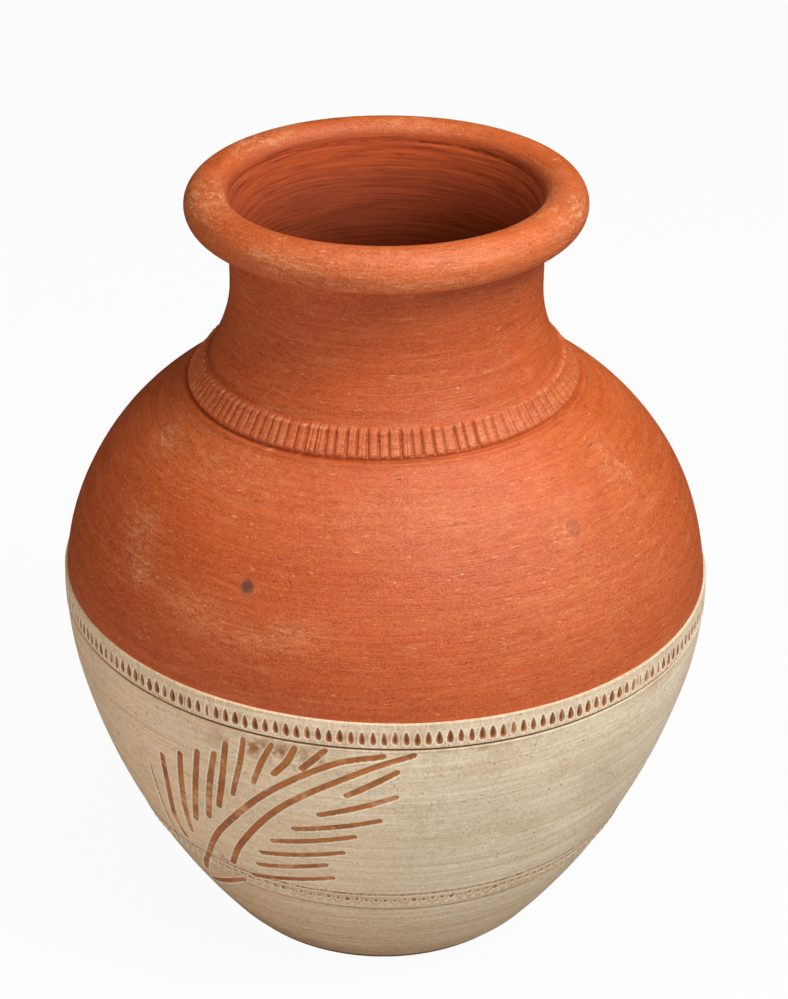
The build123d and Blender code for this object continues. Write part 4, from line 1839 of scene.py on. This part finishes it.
@dataclass
class SlipCoats(PotPart):
    """Cream slip on the lower half, in two coats with a bare line at each edge.

    Attributes:
        thickness: thickness of the slip.
        sunk: how far its back lies in the wall.
        fine_step: distance between points where the frond lies.
        wide_step: distance between points elsewhere.
        frond_from: first turn of the frond's stretch, in degrees.
        frond_to: last turn of the frond's stretch, in degrees.
        scrape_depth: depth of a scraped stroke.
        scrape_edge: how far outside a stroke the scraping starts.
        burr: height of the burr beside a stroke.
        edge_burr: height of the burr along a coat's upper edge.
        crisp: how much the pale edge beside a stroke is narrowed.
        foot_step: distance between points on the foot's coat.
        back_step: distance between points on the back of a coat.
        foot_thinned: how much thinner the foot's coat is at its lower edge.
        foot_thin_reach: height over which it thins.
        frond: the scraped frond.
        belly_wear: worn places of the belly's coat.
    """

    thickness: float = 0.6
    sunk: float = 0.5
    fine_step: float = 0.62
    wide_step: float = 3.0
    frond_from: float = -62.0
    frond_to: float = 8.0
    scrape_depth: float = 0.75
    scrape_edge: float = 0.25
    burr: float = 0.2
    edge_burr: float = 0.35
    crisp: float = 1.7
    foot_step: float = 0.8
    back_step: float = 6.0
    foot_thinned: float = 0.4
    foot_thin_reach: float = 4.0
    frond: Frond = Frond()
    belly_wear: tuple[Patch, ...] = (
        Patch(-18.5, 160.0, 26.0, 6.0, 1.1),
        Patch(-36.0, 76.0, 10.0, 3.0, 0.6),
        Patch(20.0, 166.0, 30.0, 1.6, 0.5),
        Patch(-60.0, 110.0, 16.0, 24.0, 0.35),
    )

    def build(self) -> None:
        """Build both coats."""
        self.build_belly()
        self.build_foot()

    def coat(self, node: Node, step: float) -> tuple[SectionLine, Array]:
        """Lay out a coat's closed section.

        Args:
            node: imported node, for its heights.
            step: distance between points on its face.

        Returns:
            The section and 1 where the coat shows.
        """
        steps = (step, self.back_step)
        return self.outline.layer_section(*node_heights(node), steps, self.thickness, self.sunk)

    def scraped(self, bare: Array) -> Array:
        """How far a stroke's floor lies off the slip's face, with a smooth fall over its edge."""
        return -self.scrape_depth * smooth_step(bare + self.scrape_edge)

    def turns(self, radius: float, step: float) -> Array:
        """Turns once round the axis, close together where the frond lies.

        Args:
            radius: greatest radius of the coat.
            step: distance between points where the frond lies.

        Returns:
            The turns.
        """
        start, end = math.radians(self.frond_from), math.radians(self.frond_to)
        fine = math.ceil((end - start) * radius / step)
        wide = math.ceil((2.0 * math.pi - end + start) * radius / self.wide_step)
        near = np.linspace(start, end, fine, endpoint=False)
        return np.concatenate((near, np.linspace(end, start + 2.0 * math.pi, wide, endpoint=False)))

    def build_belly(self) -> None:
        """Build the coat between the waist band and the lower band, with the frond scraped through it."""
        section, shown = self.coat(Node.SLIP_COAT_BELLY, self.fine_step)
        radius, height = section.radius[:, None], section.height[:, None]
        turn = self.turns(section.radius.max(), self.fine_step)
        waver = self.warp.waver(height, turn)
        bare = self.frond.inside(self.outline, self.warp.place(section, turn, waver))
        bare = np.where(shown > 0.0, bare, FAR_OUT)
        lift = self.scraped(bare) + self.burr * bell(bare, centre=-0.55, width=0.4)
        lift = lift + self.edge_burr * bell(height, centre=section.height.max() - 0.5, width=0.7)
        wear = sum(patch.cover(radius, height, turn) for patch in self.belly_wear) * shown
        places = self.warp.place(section, turn, waver + lift * shown)
        traits = {Trait.BARE: np.where(bare < 0.0, self.crisp * bare, bare), Trait.WEAR_AND_SHEEN: wear}
        self.piece(Node.SLIP_COAT_BELLY, Slot.CREAM_SLIP, places, traits)

    def build_foot(self) -> None:
        """Build the coat below the lower band, thin and ragged towards the base."""
        section, shown = self.coat(Node.SLIP_COAT_FOOT, self.foot_step)
        turn = self.turns(section.radius.max(), self.foot_step)
        height = section.height[:, None]
        waver = self.warp.waver(height, turn)
        bare = self.frond.inside(self.outline, self.warp.place(section, turn, waver))
        bare = np.where(shown > 0.0, bare, FAR_OUT)
        thin_from = section.height.min() + self.foot_thin_reach
        thinned = self.foot_thinned * smooth_step((thin_from - height) / self.foot_thin_reach)
        places = self.warp.place(section, turn, waver + (self.scraped(bare) - thinned) * shown)
        self.piece(Node.SLIP_COAT_FOOT, Slot.CREAM_SLIP, places, {Trait.BARE: bare})


@dataclass(frozen=True)
class Lamp:
    """One soft lamp of the studio.

    Attributes:
        name: its name.
        turn: direction from the pot, in degrees round from the front.
        elevation: direction over the floor, in degrees.
        distance: distance from the pot, in metres.
        size: side of its square face, in metres.
        power: its power, in watts.
        shines: whether it shows in the sheen of the clay.
    """

    name: str
    turn: float
    elevation: float
    distance: float
    size: float
    power: float
    shines: bool = False

    def place(self, aim: float) -> None:
        """Hang the lamp so that it faces the axis.

        Args:
            aim: height that it faces, in metres.
        """
        turn, rise = math.radians(self.turn), math.radians(self.elevation)
        lamp = bpy.data.lights.new(self.name, "AREA")
        lamp.energy = self.power
        lamp.size = self.size
        stand = bpy.data.objects.new(self.name, lamp)
        reach, height = self.distance * math.cos(rise), aim + self.distance * math.sin(rise)
        stand.location = (reach * math.sin(turn), -reach * math.cos(turn), height)
        stand.rotation_euler = (0.5 * math.pi - rise, 0.0, turn)
        stand.visible_glossy = self.shines
        bpy.context.collection.objects.link(stand)


@dataclass
class Studio:
    """Pale floor, soft lamps and the camera of the photograph.

    Attributes:
        camera_distance: distance from the point that the camera looks at, in metres.
        camera_elevation: angle of its view below level, in degrees.
        camera_aside: how far it stands to the right, in metres.
        camera_roll: how far it is turned about its view, in degrees.
        look_height: height of the point that it looks at, in metres.
        focal_pixels: focal length in pixels of the photograph.
        photo_width: width of the photograph in pixels.
        photo_height: height of the photograph in pixels.
        floor_size: side of the floor, in metres.
        floor_grey: how much light the floor gives back.
        floor_white: share of plain white that the camera sees of the floor.
        sky: strength of the even light from all round.
        lamps: the lamps.
    """

    camera_distance: float = 1.2
    camera_elevation: float = 28.27
    camera_aside: float = 0.0047
    camera_roll: float = 0.27
    look_height: float = 0.2073
    focal_pixels: float = 2569.6
    photo_width: int = 788
    photo_height: int = 999
    floor_size: float = 8.0
    floor_grey: float = 0.75
    floor_white: float = 0.95
    sky: float = 0.16
    lamps: tuple[Lamp, ...] = (
        Lamp("key_lamp", 52.0, 50.0, 1.8, 0.9, 28.5, shines=True),
        Lamp("top_lamp", 30.0, 78.0, 1.6, 1.2, 7.0, shines=True),
        Lamp("fill_lamp", -40.0, 12.0, 2.0, 1.6, 12.0),
    )

    def build(self) -> None:
        """Set the floor, the light and the camera."""
        self.build_floor()
        self.build_light()
        self.build_camera()

    def build_floor(self) -> None:
        """Lay a pale floor that the camera sees as nearly white and that keeps the pot's shadow."""
        half = 0.5 * self.floor_size
        corners = [(-half, -half, 0.0), (half, -half, 0.0), (half, half, 0.0), (-half, half, 0.0)]
        mesh = bpy.data.meshes.new("studio_floor")
        mesh.from_pydata(corners, [], [(0, 1, 2, 3)])
        floor = bpy.data.objects.new("studio_floor", mesh)
        bpy.context.collection.objects.link(floor)
        material, board = open_finish("studio_floor_finish")
        grey = (self.floor_grey, self.floor_grey, self.floor_grey, 1.0)
        matt = board.add("ShaderNodeBsdfDiffuse", {"Color": grey})
        white = board.add("ShaderNodeEmission", {"Color": WHITE, "Strength": 1.0})
        self.show_white(board, self.floor_white, matt, white, "ShaderNodeOutputMaterial")
        mesh.materials.append(material)
        floor.visible_glossy = False

    @staticmethod
    def show_white(
        board: NodeBoard, share: float, lit: bpy.types.Node, white: bpy.types.Node, output: str
    ) -> None:
        """Show white to the camera, to mirrors and through glass, and leave the light as it is.

        Args:
            board: the material's or the world's board.
            share: share of white that is seen.
            lit: shader that lights the pot.
            white: shader that is seen.
            output: kind of the output node.
        """
        path = board.add("ShaderNodeLightPath").outputs
        seen = board.most(path["Is Glossy Ray"], path["Is Transmission Ray"])
        seen = board.most(path["Is Camera Ray"], seen)
        shaders = {0: board.times(seen, share), 1: lit.outputs[0], 2: white.outputs[0]}
        board.add(output, {"Surface": board.add("ShaderNodeMixShader", shaders).outputs[0]})

    def build_light(self) -> None:
        """Hang the lamps and set an even light all round that leaves no sheen."""
        world = bpy.data.worlds.new("studio_light")
        world.use_nodes = True
        board = NodeBoard(world.node_tree)
        lit = board.add("ShaderNodeBackground", {"Color": WHITE, "Strength": self.sky})
        white = board.add("ShaderNodeBackground", {"Color": WHITE, "Strength": 1.0})
        self.show_white(board, self.floor_white, lit, white, "ShaderNodeOutputWorld")
        scene = bpy.context.scene
        scene.world = world
        world.cycles_visibility.glossy = False
        scene.view_settings.view_transform = "Standard"
        for lamp in self.lamps:
            lamp.place(self.look_height)

    def build_camera(self) -> None:
        """Stand the camera where the photograph was taken from."""
        view = bpy.data.cameras.new("photo_camera")
        view.sensor_width = 36.0
        view.sensor_fit = "AUTO"
        view.lens = view.sensor_width * self.focal_pixels / max(self.photo_width, self.photo_height)
        camera = bpy.data.objects.new("photo_camera", view)
        tilt = math.radians(self.camera_elevation)
        back, rise = self.camera_distance * math.cos(tilt), self.camera_distance * math.sin(tilt)
        camera.location = (self.camera_aside, -back, self.look_height + rise)
        turned = Matrix.Rotation(0.5 * math.pi - tilt, 3, "X")
        rolled = Matrix.Rotation(math.radians(self.camera_roll), 3, "Z")
        camera.rotation_euler = (turned @ rolled).to_euler()
        bpy.context.collection.objects.link(camera)
        bpy.context.scene.camera = camera


def write_sizes() -> None:
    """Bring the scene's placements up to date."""
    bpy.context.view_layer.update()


def main() -> None:
    """Build the walls from the floor up, the bands from the top down, the slip, then the studio."""
    logging.basicConfig(level=logging.INFO, format="%(name)s: %(message)s")
    outline, warp, finishes = Outline(), HandWarp(), make_finishes()
    for part in (ClayBody, CollarBand, WaistBand, LowerBand, SlipCoats):
        part(outline, warp, finishes).build()
    Studio().build()
    write_sizes()


if __name__ == "__main__":
    main()
